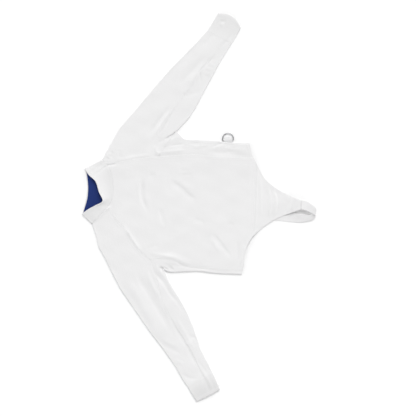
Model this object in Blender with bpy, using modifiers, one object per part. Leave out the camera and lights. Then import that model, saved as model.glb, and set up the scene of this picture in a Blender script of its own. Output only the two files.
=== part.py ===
"""A white fencing jacket laid flat, front side up, built from its cut pieces.

The row's frame: +X from the collar to the hem, +Y towards the wearer's left sleeve, +Z up out
of the front, with the surface that the jacket lies on at Z = 0. Tables are in millimetres.
Each piece is a wall of cloth: the back and the undersides lie flat, the front pieces lie on
them, and the cloth turns over in a small roll along the sides and the sleeves.
"""

import bmesh
import bpy
import numpy as np
from math import cos, pi, radians, sin

# ---- driving dimensions, in metres ----
MM = 0.001
CLOTH = 0.0024          # wall of the quilted jacket cloth
GAP = 0.0003            # space left between two pieces at a seam
ROLL = 0.0022           # radius of the middle of the wall where it turns at an edge
LOFT = 0.0012           # how much higher the upper layer lies away from the rolled edges
LOFT_REACH = 0.050      # distance over which it rises
FLAP_LAP = 0.012        # how far the front covers the pieces next to the closure
FLAP_FALL = 0.018       # distance over which the covering edge sinks back to the layer below
FLAP_START = -0.384     # where the flap begins to lift beside the collar, along X
FLAP_EASE = 0.034       # distance over which it reaches its full lift
COVER_START = -0.350    # where the flap begins to cover the sleeve, along X
COVER_EASE = 0.030
BED = CLOTH / 2         # height of the middle of a wall that lies on the surface
EDGE = ROLL + CLOTH / 2  # from the middle of a roll to the outline
STEPS = 2               # rows that the lofts take between two rows of a table
TURNS = 5               # points round a roll
FOLD_EASE = 0.015       # distance from the rolls over which the folds reach their full height
CORNER = 0.0025         # extra room where two rolls meet at an armpit or at the collar
HEM_FALL = (0.196, 0.271)   # along X, where the crotch point sinks past the back's hem
STRAP_SPAN = (-0.095, 0.040)    # across Y, where it sinks onto the strap that runs under it
STRAP_EASE = 0.030
TIP_RISE = 0.012        # how high the point's tip stands off the surface
TIP_SPAN = (0.330, 0.406)   # along X, where it rises
SIDE_ROWS = 13          # rows of the side pieces, from armpit to hem

STRAP_WALL = 0.0020     # elastic crotch strap
LINING_WALL = 0.0009    # lining of the stand collar
WEB_WALL = 0.0014       # webbing that holds the ring
WIRE = 0.0021           # radius of the ring's wire
RING_RADIUS = 0.0219    # middle of the wire in the round of the D
RING_LEG = 0.0050       # straight legs between the bar and the round
RING_CORNER = 0.0030    # bends between the bar and the legs
RING_BAR = (0.116, 0.269, 0.0043)
WEB_WIDTH = 0.034
WEB_PLAY = 0.0005       # clearance of the wire in its webbing loop
WEB_NECK = 0.0030       # how far out of the jacket's edge the two legs of the webbing part
WEB_SLACK = 0.0100      # how far the loop goes on past the bar, inside the D
WEB_FOLD = 0.0029       # radius of the middle of the webbing where it turns

# ---- outline and seams, in millimetres ----
# Right sleeve: where the front seam, the outer edge and the hidden under seam pass each station.
# The first six rows run beside the body along the raglan seam, the others past the armpit.
RIGHT_SLEEVE = [
    # seam x, seam y, outer x, outer y, under x, under y
    (-366, 0, -427, -66, -416, -34),
    (-325, -58, -414, -108, -376, -74),
    (-290, -92, -401, -158, -332, -114),
    (-262, -142, -375, -206, -288, -152),
    (-230, -180, -348, -262, -238, -188),
    (-197, -209, -316, -323, -185, -217),
    (-176, -262, -286, -368, -212, -306),
    (-160, -322, -252, -417, -200, -378),
    (-142, -383, -217, -468, -175, -434),
    (-115, -438, -182, -517, -142, -486),
    (-87, -489, -150, -558, -111, -532),
    (-55, -539, -118, -603, -84, -577),
    (-30, -580, -92, -641, -60, -619),
    (-4, -636, -68, -684, -37, -666),
    (20, -682, -45, -718, -13, -700),
]
RIGHT_INNER = [
    # inner x, inner y, one row for each station from the armpit on
    (-139, -249),
    (-128, -277),
    (-110, -312),
    (-83, -354),
    (-50, -413),
    (-27, -466),
    (-9, -515),
    (8, -567),
    (36, -620),
    (56, -662),
]
RIGHT_CUFF = [(-10, -776), (84, -727)]      # outer and inner corner of the sleeve's end
RIGHT_ARMPIT_OUT = (0.86, -0.51)            # way out of the cloth in the armpit's corner
RIGHT_NECK_OUT = (-0.84, -0.54)             # and at the collar's folded end

LEFT_SLEEVE = [
    (-382, 181, -387, 191, -394, 172),
    (-352, 178, -366, 231, -350, 170),
    (-312, 170, -346, 268, -304, 174),
    (-262, 179, -330, 297, -254, 184),
    (-215, 186, -318, 316, -205, 197),
    (-172, 190, -300, 338, -155.6, 212),
    (-166, 248, -280, 361, -190, 290),
    (-150, 300, -254, 390, -186, 352),
    (-126, 350, -222, 429, -168, 400),
    (-96, 398, -183, 475, -138, 446),
    (-58, 447, -142, 522, -100, 490),
    (-18, 498, -99, 570, -60, 536),
    (20, 555, -53, 617, -20, 588),
    (64, 612, -4, 667, 22, 640),
    (112, 666, 33, 706, 62, 691),
]
LEFT_INNER = [
    (-90, 302),
    (-83, 310),
    (-72, 322),
    (-54, 341),
    (-34, 366),
    (-8, 408),
    (18, 458),
    (56, 526),
    (92, 593),
    (131, 655),
]
LEFT_CUFF = [(77, 776.1), (168, 718)]
LEFT_ARMPIT_OUT = (1.0, 0.03)
LEFT_NECK_OUT = (-0.70, 0.71)

# Side pieces: seam with the front, side edge of the jacket, hidden seam with the back.
RIGHT_SIDE = [
    # seam x, seam y, edge x, edge y, under x, under y
    (-197, -209, -139, -249, -185, -217),
    (-160, -204, -128, -256, -150, -222),
    (-124, -204, -104, -260, -116, -226),
    (-92, -214, -72, -258, -84, -228),
    (-62, -231, -40, -257, -50, -228),
    (-20, -242, 0, -256, -10, -228),
    (60, -248, 70, -264, 64, -232),
    (174, -254, 172, -268, 168, -240),
]
LEFT_SIDE = [
    (-160, 206.4, -90, 302, -155.6, 212),
    (-146, 220, -78, 293, -134, 228),
    (-124, 236, -60, 275, -112, 236),
    (-92, 247, -40, 271, -80, 241),
    (-58, 251, -16, 270, -46, 242),
    (0, 256, 14, 270, 2, 241),
    (75, 252, 75, 266, 72, 238),
    (124, 245, 124, 259, 120, 231),
    (204, 245, 200, 259, 194, 229),
]
NECK_POINTS = 14        # points along the neck seam of the front, and along its hem
SEAM_POINTS = 8         # points along the seam of the crotch point
BACK_POINTS = 8         # points along the neck seam of the back
CLOSURE = [(-382, 181), (-331, 178), (-261, 192), (-184, 201), (-29, 211), (64, 203), (219, 197)]
NECK_FRONT = [(-382, 181), (-364, 165), (-348, 129), (-342, 69), (-349, 27), (-366, 0)]
NECK_BACK = [(-394, 172), (-388, 120), (-382, 60), (-385, 8), (-416, -34)]
POINT_SEAM = [(223, 187), (230, 149), (227, 100), (225, 20), (222, -50), (214, -118)]
POINT_LEFT = [(223, 187), (265, 112), (330, 62), (406, 28)]
POINT_RIGHT = [(214, -118), (249, -86), (292, -56), (327, -38), (364, -24), (406, -8)]
RIGHT_HEM = [(214, -118), (196, -147), (184, -182), (179, -225), (174, -254)]

# Stand collar: its upper edge over the front and over the back, between the two folded ends.
COLLAR_FRONT_TOP = [(-456, 155), (-440, 129), (-412, 102), (-398, 60), (-384, 25), (-416, 6),
                    (-444, -9), (-468, -27)]
COLLAR_BACK_TOP = [(-468, -27), (-458, 8), (-450, 45), (-448, 92), (-456, 155)]
COLLAR_RISE = 0.016     # how high the front of the collar stands above the layers below it
COLLAR_SWELL = 0.8      # exponents of the rise along the collar, and from its seam to its top
COLLAR_LEAN = 1.8
LEFT_TOP_OUT = (-0.45, 0.89)    # way out of the folded ends at the collar's upper edge
RIGHT_TOP_OUT = (-0.67, -0.74)

# Largest folds of the upper layer: soft ridges (+) and troughs (-).
FOLDS = [
    # from x, from y, to x, to y, half width, height
    (-186, 272, -120, 384, 15, 3.5),
    (-70, 482, 20, 596, 24, -1.5),
    (-246, -245, -165, -406, 26, -1.6),
    (-165, -406, -100, -508, 22, -1.4),
    (-290, -290, -160, -500, 26, 2.0),
    (-186, -172, -84, -202, 16, 2.4),
    (-225, 118, -225, 36, 18, -1.4),
    (-113, 105, -14, 36, 18, -1.4),
    (64, -132, 100, -181, 14, 2.5),
    (20, 226, 190, 228, 13, 2.0),
]

# Elastic crotch strap: its two edges, from the point's tip round the loop to the back's hem.
STRAP = [
    # left x, left y, left z, right x, right y, right z
    (406.2, 28, 14.2, 406.2, -8, 15.8),
    (429, 23.5, 18, 427, -13, 17.5),
    (448, 12, 20.5, 443, -19.5, 18.5),
    (460, 3, 22, 456, -27, 18),
    (467.7, -8, 20, 464, -37, 12),
    (463, -21, 15, 456, -48, 5),
    (449, -30, 12, 441, -55.5, 2.2),
    (430, -30, 10.5, 420, -60, 1.3),
    (400, -26, 8, 398, -61, 1.1),
    (382, -24.5, 4.6, 381, -59.5, 1.1),
    (364, -23, 1.8, 364, -58, 1.1),
    (306, -17, 1.1, 306, -52, 1.1),
    (250, -14, 1.1, 250, -49, 1.1),
    (190, -12, 1.1, 190, -47, 1.1),
]


# ---- curves and surfaces ----
def smooth(t):
    """Ease from 0 to 1."""
    t = np.clip(t, 0.0, 1.0)
    return t * t * (3.0 - 2.0 * t)


def through(points, steps=STEPS):
    """Points in metres on a smooth curve through the table's rows, steps of them to a row."""
    rows = np.array(points, float) * MM
    ends = np.vstack([2 * rows[0] - rows[1], rows, 2 * rows[-1] - rows[-2]])
    curve = []
    for i in range(len(rows) - 1):
        before, start, end, after = ends[i:i + 4]
        for t in np.arange(steps) / steps:
            curve.append(start + 0.5 * t * (end - before
                         + t * (2 * before - 5 * start + 4 * end - after
                                + t * (3 * start - before - 3 * end + after))))
    curve.append(rows[-1])
    return np.array(curve)


def spaced(curve, count):
    """The curve again with evenly spaced points."""
    lengths = np.r_[0.0, np.cumsum(np.linalg.norm(np.diff(curve, axis=0), axis=1))]
    stations = np.linspace(0.0, lengths[-1], count)
    return np.column_stack([np.interp(stations, lengths, axis) for axis in curve.T])


def outward(curve, side):
    """Unit vector out of the cloth at each point of an edge; side is +1 or -1."""
    tangent = np.gradient(curve, axis=0)
    normal = np.column_stack([-tangent[:, 1], tangent[:, 0]]) * side
    return normal / np.linalg.norm(normal, axis=1)[:, None]


def coons(start, end, first, last):
    """Surface between four edges: start and end run across, first and last from start to end."""
    u = np.linspace(0.0, 1.0, len(first))[:, None, None]
    v = np.linspace(0.0, 1.0, len(start))[None, :, None]
    across = (1 - v) * first[:, None] + v * last[:, None]
    along = (1 - u) * start[None] + u * end[None]
    corners = ((1 - u) * (1 - v) * first[0] + u * (1 - v) * first[-1]
               + (1 - u) * v * last[0] + u * v * last[-1])
    return across + along - corners


def inward(edge, inner):
    """Level unit vectors from a grid's edge towards its inside, square to the edge."""
    tangent = np.gradient(edge, axis=0)
    tangent /= np.linalg.norm(tangent, axis=1)[:, None]
    step = inner - edge
    step = step - (step * tangent).sum(axis=1)[:, None] * tangent
    step[:, 2:] = 0.0
    return step / np.linalg.norm(step, axis=1)[:, None]


def drawn_in(grid):
    """The grid with its four edges drawn in by half of the gap at a seam."""
    grid = grid.copy()
    grid[0] += GAP / 2 * inward(grid[0], grid[1])
    grid[-1] += GAP / 2 * inward(grid[-1], grid[-2])
    grid[:, 0] += GAP / 2 * inward(grid[:, 0], grid[:, 1])
    grid[:, -1] += GAP / 2 * inward(grid[:, -1], grid[:, -2])
    return grid


def onto(point, start, end):
    """The point moved square onto the line from start to end."""
    span = end - start
    return start + span * ((point - start) @ span) / (span @ span)


def column(table, first):
    """Smooth curve through two neighbouring columns of a table."""
    return through([row[first:first + 2] for row in table])


right_seam = column(RIGHT_SLEEVE, 0)
right_outer = column(RIGHT_SLEEVE, 2)
right_under = column(RIGHT_SLEEVE, 4)
right_inner = through(RIGHT_INNER)
left_seam = column(LEFT_SLEEVE, 0)
left_outer = column(LEFT_SLEEVE, 2)
left_under = column(LEFT_SLEEVE, 4)
left_inner = through(LEFT_INNER)
right_side = [spaced(through([row[i:i + 2] for row in RIGHT_SIDE], 8), SIDE_ROWS + 1)
              for i in (0, 2, 4)]
left_side = [spaced(through([row[i:i + 2] for row in LEFT_SIDE], 8), SIDE_ROWS + 1)
             for i in (0, 2, 4)]
closure = through(CLOSURE, 6)
ARMPIT = 5 * STEPS      # row of the sleeves' lofts at the armpit
# The left sleeve's upper piece ends under the front's flap, which starts short of the collar.
covered = smooth((left_seam[:ARMPIT + 1, 0] - COVER_START) / COVER_EASE)
left_seam[:ARMPIT + 1, 1] = (np.interp(left_seam[:ARMPIT + 1, 0], closure[:, 0], closure[:, 1])
                             + GAP - FLAP_LAP * covered)
past = np.linspace(left_seam[ARMPIT, 0], closure[-1, 0], SIDE_ROWS + 1)
closure_x = np.r_[left_seam[:ARMPIT, 0], past]
closure_edge = np.column_stack([closure_x, np.interp(closure_x, closure[:, 0], closure[:, 1])])
left_side[0][0] = onto(left_side[0][0], left_seam[ARMPIT], left_inner[0])
right_cuff = np.array(RIGHT_CUFF) * MM
left_cuff = np.array(LEFT_CUFF) * MM
rolled_edges = [right_outer, right_inner, left_outer, left_inner, right_side[1], left_side[1],
                np.array([right_outer[-1], right_cuff[0]]), np.array([left_outer[-1], left_cuff[0]]),
                np.array([right_inner[-1], right_cuff[1]]), np.array([left_inner[-1], left_cuff[1]])]


def to_line(points, line):
    """Distance from each point to a polyline."""
    nearest = np.full(points.shape[:-1], np.inf)
    for start, end in zip(line[:-1], line[1:]):
        span = end - start
        share = np.clip(((points - start) @ span) / (span @ span), 0.0, 1.0)
        foot = start + share[..., None] * span
        nearest = np.minimum(nearest, np.linalg.norm(points - foot, axis=-1))
    return nearest


def lie(points):
    """Height of the middle of the upper layer over points of the plan."""
    inside = np.min([to_line(points, line) for line in rolled_edges], axis=0) - EDGE
    height = BED + 2 * ROLL + LOFT * smooth(inside / LOFT_REACH)
    for x0, y0, x1, y1, width, rise in FOLDS:
        line = np.array([(x0, y0), (x1, y1)]) * MM
        near = np.exp(-(to_line(points, line) / (width * MM)) ** 2)
        height = height + rise * MM * near * smooth(inside / FOLD_EASE)
    x, y = points[..., 0], points[..., 1]
    # Past the back's hem the point sinks to the surface, or onto the strap that runs under it.
    over_strap = (smooth((y - STRAP_SPAN[0]) / STRAP_EASE)
                  * smooth((STRAP_SPAN[1] - y) / STRAP_EASE))
    low = BED + (STRAP_WALL + 2 * GAP) * over_strap
    low = low + TIP_RISE * smooth((x - TIP_SPAN[0]) / (TIP_SPAN[1] - TIP_SPAN[0]))
    fall = smooth((x - HEM_FALL[0]) / (HEM_FALL[1] - HEM_FALL[0]))
    return height * (1 - fall) + low * fall


def flap_lift(points):
    """How far the front is lifted where it covers the pieces beside the closure."""
    x, y = points[..., 0], points[..., 1]
    inside = np.interp(x, closure[:, 0], closure[:, 1]) - y
    near_edge = 1 - smooth((inside - FLAP_LAP - MM) / FLAP_FALL)
    return (CLOTH + 3 * GAP) * near_edge * smooth((x - FLAP_START) / FLAP_EASE)


def raised(grid, lift=None):
    """Plan grid with its height on the upper layer."""
    height = lie(grid)
    if lift is not None:
        height = height + lift(grid)
    return np.dstack([grid, height])


def roll(corner, out):
    """Points of the half turn at an edge, from the upper layer to the one on the surface."""
    centre = corner - out * EDGE
    points = []
    for angle in np.linspace(0.0, pi, TURNS):
        plan = centre + out * ROLL * sin(angle)
        points.append((plan[0], plan[1], BED + ROLL + ROLL * cos(angle)))
    return np.array(points)


def wrapped(seam, edge, out, under, upper_count, under_count):
    """Loft of rows that run over the top from seam to edge, turn there and come back below."""
    rows = []
    for k in range(len(edge)):
        turn = roll(edge[k], out[k])
        share = np.linspace(0.0, 1.0, upper_count)[:-1, None]
        plan = seam[k] + share * (turn[0, :2] - seam[k])
        top = np.column_stack([plan, lie(plan)])
        share = np.linspace(0.0, 1.0, under_count)[1:, None]
        plan = turn[-1, :2] + share * (under[k] - turn[-1, :2])
        below = np.column_stack([plan, np.full(len(plan), BED)])
        rows.append(np.vstack([top, turn, below]))
    rows = drawn_in(np.array(rows))
    turned = slice(upper_count - 1, upper_count - 1 + TURNS)
    rows[0, turned] += CORNER * inward(rows[0], rows[1])[turned]
    return rows


# ---- objects ----
def collection(name):
    made = bpy.data.collections.new(name)
    bpy.context.scene.collection.children.link(made)
    return made


def material(name, color, roughness, metallic=0.0):
    made = bpy.data.materials.new(name)
    made.use_nodes = True
    shader = made.node_tree.nodes["Principled BSDF"]
    shader.inputs["Base Color"].default_value = (*color, 1.0)
    shader.inputs["Roughness"].default_value = roughness
    shader.inputs["Metallic"].default_value = metallic
    return made


def sheet(name, grid, finish, wall=CLOTH, ring=False):
    """Open surface over a grid of points, thickened to a wall."""
    rows, columns = grid.shape[:2]
    shape = bmesh.new()
    corners = [[shape.verts.new(point) for point in row] for row in grid]
    for i in range(rows - 1):
        for j in range(columns if ring else columns - 1):
            k = (j + 1) % columns
            shape.faces.new((corners[i][j], corners[i + 1][j], corners[i + 1][k], corners[i][k]))
    solid(name, shape, finish, wall)


def solid(name, shape, finish, wall):
    """Object from a surface, thickened to both sides."""
    bmesh.ops.recalc_face_normals(shape, faces=shape.faces)
    mesh = bpy.data.meshes.new(name)
    shape.to_mesh(mesh)
    shape.free()
    mesh.polygons.foreach_set("use_smooth", [True] * len(mesh.polygons))
    mesh.materials.append(finish)
    made = bpy.data.objects.new(name, mesh)
    jacket.objects.link(made)
    thick = made.modifiers.new("Wall", "SOLIDIFY")
    thick.thickness = wall
    thick.offset = 0.0


def neck_line():
    """Neck seam of the front piece, which the collar shares."""
    return spaced(through(NECK_FRONT, 6), NECK_POINTS)


def body_front(finish):
    """The large front piece, whose left edge covers the closure."""
    seam = np.vstack([right_seam[:ARMPIT], right_side[0]])
    edge = closure_edge
    point = spaced(through(POINT_SEAM, 6), SEAM_POINTS)
    hem = spaced(through(RIGHT_HEM, 6), NECK_POINTS - SEAM_POINTS)
    end = np.vstack([edge[-1:], point, hem[1:]])
    sheet("front_main", raised(drawn_in(coons(neck_line(), end, edge, seam)), flap_lift), finish)


def side_front(finish):
    """The narrow front piece between the closure and the left side piece."""
    seam = left_side[0]
    edge = closure_edge[ARMPIT:] - (0.0, FLAP_LAP)
    edge[0] = left_seam[ARMPIT]
    across = np.linspace(0.0, 1.0, 5)[:, None]
    start = edge[0] + across * (seam[0] - edge[0])
    end = edge[-1] + across * (seam[-1] - edge[-1])
    sheet("front_left", raised(drawn_in(coons(start, end, edge, seam))), finish)


def back_panel(finish):
    """The back, flat on the surface."""
    left = np.vstack([left_under[:ARMPIT], left_side[2]])
    right = np.vstack([right_under[:ARMPIT], right_side[2]])
    neck = spaced(through(NECK_BACK, 6), BACK_POINTS)
    hem = left[-1] + np.linspace(0.0, 1.0, len(neck))[:, None] * (right[-1] - left[-1])
    plan = drawn_in(coons(neck, hem, left, right))
    sheet("back", np.dstack([plan, np.full(plan.shape[:2], BED)]), finish)


def side_piece(name, lines, out_side, armpit_out, finish):
    """Long underarm piece that turns round the side edge of the jacket."""
    seam, edge, under = lines
    out = outward(edge, out_side)
    out[0] = np.array(armpit_out) / np.linalg.norm(armpit_out)
    rows = wrapped(seam, edge, out, under, 4, 3)
    sheet(name, rows, finish)


def sleeve(side, seam, outer, under, inner, cuff, out_side, start_out, armpit_out, bulge, finish):
    """Upper sleeve from neck to cuff, under sleeve from armpit to cuff, and the cuff."""
    out = outward(outer, out_side)
    out[0] = np.array(start_out) / np.linalg.norm(start_out)
    inner_out = outward(inner, -out_side)
    inner_out[0] = np.array(armpit_out) / np.linalg.norm(armpit_out)
    ends = (outer[-1] - out[-1] * EDGE, inner[-1] - inner_out[-1] * EDGE)
    seam[-1] = onto(seam[-1], *ends)
    under[-1] = onto(under[-1], *ends)
    rows = wrapped(seam, outer, out, under, 7, 4)
    sheet(f"sleeve_{side}_upper", rows, finish)
    rows = wrapped(seam[ARMPIT:], inner, inner_out, under[ARMPIT:], 5, 4)
    sheet(f"sleeve_{side}_under", rows, finish)

    # The cuff is a flattened ring between the seam line and the sleeve's curved end.
    rings = []
    for share in np.linspace(0.0, 1.0, 5):
        near = outer[-1] + share * (cuff[0] - outer[-1])
        far = inner[-1] + share * (cuff[1] - inner[-1])
        upper = roll(near, out[-1])
        lower = roll(far, inner_out[-1])
        across = np.linspace(0.0, 1.0, 9)[1:-1, None]
        bow = bulge * share * (4 * across * (1 - across))
        along = cuff[0] - outer[-1]
        along = along / np.linalg.norm(along)
        top = upper[0, :2] + across * (lower[0, :2] - upper[0, :2]) + bow * along
        bottom = lower[-1, :2] + across * (upper[-1, :2] - lower[-1, :2]) + bow * along
        rings.append(np.vstack([
            upper[::-1],
            np.column_stack([top, lie(top)]),
            lower,
            np.column_stack([bottom, np.full(len(bottom), BED)]),
        ]))
    rings = np.array(rings)
    step = rings[1] - rings[0]
    rings[0] += GAP / 2 * step / np.linalg.norm(step, axis=-1)[:, None]
    sheet(f"cuff_{side}", rings, finish, ring=True)


def crotch_point(finish):
    """The V-shaped point of the front between the legs, which ends in the strap."""
    seam = spaced(through(POINT_SEAM, 6), SEAM_POINTS)
    left = spaced(through(POINT_LEFT, 6), 11)
    right = spaced(through(POINT_RIGHT, 6), 11)
    tip = left[-1] + np.linspace(0.0, 1.0, SEAM_POINTS)[:, None] * (right[-1] - left[-1])
    sheet("crotch_point", raised(drawn_in(coons(seam, tip, left, right))), finish)


def collar(finish, lining_finish):
    """Stand collar: one band round the neck, folded flat at both sides, open at the top."""
    ends = [roll(corner, np.array(out)) for corner, out in (
        (right_outer[0], RIGHT_NECK_OUT),
        (np.array(COLLAR_FRONT_TOP[-1]) * MM, RIGHT_TOP_OUT),
        (left_outer[0], LEFT_NECK_OUT),
        (np.array(COLLAR_FRONT_TOP[0]) * MM, LEFT_TOP_OUT),
    )]
    right_seam_turn, right_top_turn, left_seam_turn, left_top_turn = ends

    # Front: the seam runs over the front piece and the right sleeve, the top edge stands up.
    share = np.linspace(0.0, 1.0, 6)[1:, None]
    join = right_seam[0] + share * (right_seam_turn[0, :2] - right_seam[0])
    short = np.linspace(0.0, 1.0, 3)[:, None]
    stub = left_seam_turn[0, :2] + short * (neck_line()[0] - left_seam_turn[0, :2])
    seam = np.vstack([stub, neck_line()[1:], join])
    top = spaced(through(COLLAR_FRONT_TOP, 8), len(seam))
    top[0] = left_top_turn[0, :2]
    top[-1] = right_top_turn[0, :2]
    along = np.linspace(0.0, 1.0, len(seam))
    stand = BED + 2 * ROLL + COLLAR_RISE * np.sin(pi * along) ** COLLAR_SWELL
    front_seam = np.column_stack([seam, lie(seam) + flap_lift(seam)])
    front_top = np.column_stack([top, stand])

    # Back: both edges lie on the surface.
    under = np.vstack([right_seam_turn[-1:, :2], right_under[:1], spaced(through(NECK_BACK, 6),
                      BACK_POINTS)[::-1][1:], left_seam_turn[-1:, :2]])
    upper = spaced(through(COLLAR_BACK_TOP, 8), len(under))
    upper[0] = right_top_turn[-1, :2]
    upper[-1] = left_top_turn[-1, :2]
    back_seam = np.column_stack([under, np.full(len(under), BED)])
    back_top = np.column_stack([upper, np.full(len(upper), BED)])

    slit = len(stub) - 1
    seams = np.vstack([front_seam[slit:-1], right_seam_turn, back_seam[1:-1],
                       left_seam_turn[::-1], front_seam[1:slit + 1]])
    tops = np.vstack([front_top[slit:-1], right_top_turn, back_top[1:-1],
                      left_top_turn[::-1], front_top[1:slit + 1]])
    rows = []
    for low, high in zip(seams, tops):
        t = np.linspace(0.0, 1.0, 6)
        row = low + t[:, None] * (high - low)
        row[:, 2] = low[2] + (high[2] - low[2]) * t ** COLLAR_LEAN
        rows.append(row)
    rows = drawn_in(np.array(rows))
    for first in (len(front_seam[slit:-1]), len(rows) - slit - TURNS):
        turned = slice(first, first + TURNS)
        rows[turned, 0] += CORNER * inward(rows[:, 0], rows[:, 1])[turned]
    sheet("collar", rows, finish)

    # The lining lies on the inner face of the collar's back, just short of its edges.
    rows = []
    for low, high in zip(back_seam[1:-1], back_top[1:-1]):
        row = low + np.linspace(0.04, 0.95, 4)[:, None] * (high - low)
        row[:, 2] = CLOTH + GAP + LINING_WALL / 2
        rows.append(row)
    sheet("collar_lining", np.array(rows), lining_finish, LINING_WALL)


def crotch_strap(finish):
    """Elastic strap from the point's tip, round its open loop and back under to the hem."""
    left = through([row[:3] for row in STRAP])
    right = through([row[3:] for row in STRAP])
    hem = np.array([right_side[2][-1], left_side[2][-1]])
    for edge in (left, right):
        edge[-1, 0] = np.interp(edge[-1, 1], hem[:, 1], hem[:, 0]) + GAP / 2
    across = np.linspace(0.0, 1.0, 4)[None, :, None]
    grid = left[:, None] + across * (right - left)[:, None]
    sheet("crotch_strap", grid, finish, STRAP_WALL)


def ring_tab(finish):
    """Webbing from the side edge round the ring's bar, with some slack, and back to the edge."""
    turn = WIRE + WEB_PLAY + WEB_WALL / 2
    bar_x, bar_y, bar_z = RING_BAR
    columns = []
    for x in bar_x + np.linspace(-0.5, 0.5, 4) * WEB_WIDTH:
        root = np.interp(x, left_side[1][:, 0], left_side[1][:, 1]) + GAP
        middle = BED + ROLL
        path = [(x, root, middle - 0.8 * MM), (x, root + WEB_NECK, middle - 1.6 * MM)]
        low = bar_z - turn
        path.append((x, bar_y, low))
        for angle in np.linspace(-pi / 2, pi / 2, 7):
            path.append((x, bar_y + WEB_SLACK + WEB_FOLD * cos(angle),
                         low + WEB_FOLD * (1 + sin(angle))))
        path += [(x, bar_y + 5.0 * MM, bar_z + turn - 0.3 * MM), (x, bar_y, bar_z + turn)]
        path += [(x, root + WEB_NECK, middle + 2.0 * MM), (x, root, middle + 0.8 * MM)]
        columns.append(path)
    sheet("ring_tab", np.array(columns), finish, WEB_WALL)


def d_ring(finish):
    """Wire D that swings on its straight bar and rests on its round at the surface."""
    half = RING_RADIUS
    corner = RING_CORNER
    outline = [(-half + corner, 0.0), (half - corner, 0.0)]
    for angle in (-60, -30):
        outline.append((half - corner + corner * cos(radians(angle)),
                        corner + corner * sin(radians(angle))))
    for angle in np.linspace(0.0, pi, 21):
        outline.append((half * cos(angle), RING_LEG + half * sin(angle)))
    for angle in (210, 240):
        outline.append((-half + corner + corner * cos(radians(angle)),
                        corner + corner * sin(radians(angle))))
    curve = bpy.data.curves.new("d_ring", "CURVE")
    curve.dimensions = "3D"
    curve.bevel_depth = WIRE
    curve.bevel_resolution = 3
    spline = curve.splines.new("POLY")
    spline.points.add(len(outline) - 1)
    for point, (x, y) in zip(spline.points, outline):
        point.co = (x, y, 0.0, 1.0)
    spline.use_cyclic_u = True
    curve.materials.append(finish)
    ring = bpy.data.objects.new("d_ring", curve)
    ring.location = RING_BAR
    rest_drop = RING_BAR[2] - WIRE - 0.0001
    ring.rotation_euler = (-np.arcsin(rest_drop / (RING_LEG + RING_RADIUS)), 0.0, 0.0)
    jacket.objects.link(ring)


for old in list(bpy.data.objects):
    bpy.data.objects.remove(old)
jacket = collection("fencing_jacket")

white = material("white_cloth", (0.86, 0.86, 0.86), 0.85)
blue = material("blue_lining", (0.022, 0.051, 0.223), 0.80)
elastic = material("white_elastic", (0.78, 0.78, 0.78), 0.75)
webbing = material("white_webbing", (0.80, 0.80, 0.80), 0.70)
steel = material("steel", (0.56, 0.57, 0.58), 0.28, 1.0)

back_panel(white)
body_front(white)
side_front(white)
side_piece("side_right", right_side, -1, RIGHT_ARMPIT_OUT, white)
side_piece("side_left", left_side, 1, LEFT_ARMPIT_OUT, white)
sleeve("right", right_seam, right_outer, right_under, right_inner, right_cuff, -1,
       RIGHT_NECK_OUT, RIGHT_ARMPIT_OUT, 0.002, white)
sleeve("left", left_seam, left_outer, left_under, left_inner, left_cuff, 1,
       LEFT_NECK_OUT, LEFT_ARMPIT_OUT, 0.018, white)
collar(white, blue)
crotch_point(white)
crotch_strap(elastic)
ring_tab(webbing)
d_ring(steel)
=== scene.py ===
"""A white fencing jacket laid flat, front side up, put together from its cut pieces.

+X runs from the collar to the hem, +Y towards the wearer's left sleeve, +Z out of the front.
Tables of points are in millimetres, everything else is in metres.
"""

from math import pi, radians

import bmesh
import bpy
import numpy as np
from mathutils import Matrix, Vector


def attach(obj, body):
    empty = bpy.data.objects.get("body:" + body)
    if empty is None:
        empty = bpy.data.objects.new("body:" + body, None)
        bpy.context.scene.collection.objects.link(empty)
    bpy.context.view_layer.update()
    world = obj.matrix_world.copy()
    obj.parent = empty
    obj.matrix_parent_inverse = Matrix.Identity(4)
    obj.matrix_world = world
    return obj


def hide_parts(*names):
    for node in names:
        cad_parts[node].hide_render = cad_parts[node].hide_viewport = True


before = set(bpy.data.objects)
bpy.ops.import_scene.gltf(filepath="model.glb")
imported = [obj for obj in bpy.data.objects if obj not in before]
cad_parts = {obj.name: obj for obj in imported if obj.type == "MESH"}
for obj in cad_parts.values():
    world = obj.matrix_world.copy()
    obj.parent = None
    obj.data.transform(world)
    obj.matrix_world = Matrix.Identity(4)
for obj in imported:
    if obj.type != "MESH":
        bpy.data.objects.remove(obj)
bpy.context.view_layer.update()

# ---- Back ----
# One panel of white twill between the hidden seams of the sleeves and sides, from the neck to
# the hem. It is the bottom layer, flat on the surface. All the cloth pieces are made alike: a
# middle surface is given a wall, its cut edges are rounded, and its seams take their stitches.
MM = 0.001
WALL = 0.0017           # cloth and its backing
BED = WALL / 2          # height of the middle of a layer that lies on the surface
# Lines of the mesh beside an edge: round of the wall, then the channels of the two stitch rows.
EDGE_LINES = MM * np.array(
    [0, 0.12, 0.42, 0.85, 1.4, 2.0, 2.6, 4.2, 6.0, 7.4, 8.0, 8.6, 10.5, 13.5])
TWIN = (0.002, 0.008)   # twin rows of stitches, from the edge
CHANNEL = 0.00030       # depth of a stitch row in the cloth
CHANNEL_WIDTH = 0.00055
ALLOWANCE = 0.00038     # extra height over the folded cloth inside a topstitched seam
ALLOWANCE_WIDTH = 0.0095
ALLOWANCE_EASE = 0.003  # distance over which that height falls away
BLUNT = 7.0             # how much tighter an edge is rounded where it butts on the next piece
BLUNT_SEAM = 0.003      # added to the distance from such an edge, so that the painted shade of its groove is hardly darker
ROW_END = 5             # points without thread at each end of a row
ROW_UP = 0.3            # least upward tilt of cloth that is sewn from above
STEPS = 8               # points of a curve to each row of its table
stitch_rows = {}        # rows of thread, collected piece by piece for the sewing at the end


def smooth(t):
    """Ease from 0 to 1."""
    t = np.clip(t, 0.0, 1.0)
    return t * t * (3.0 - 2.0 * t)


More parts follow.
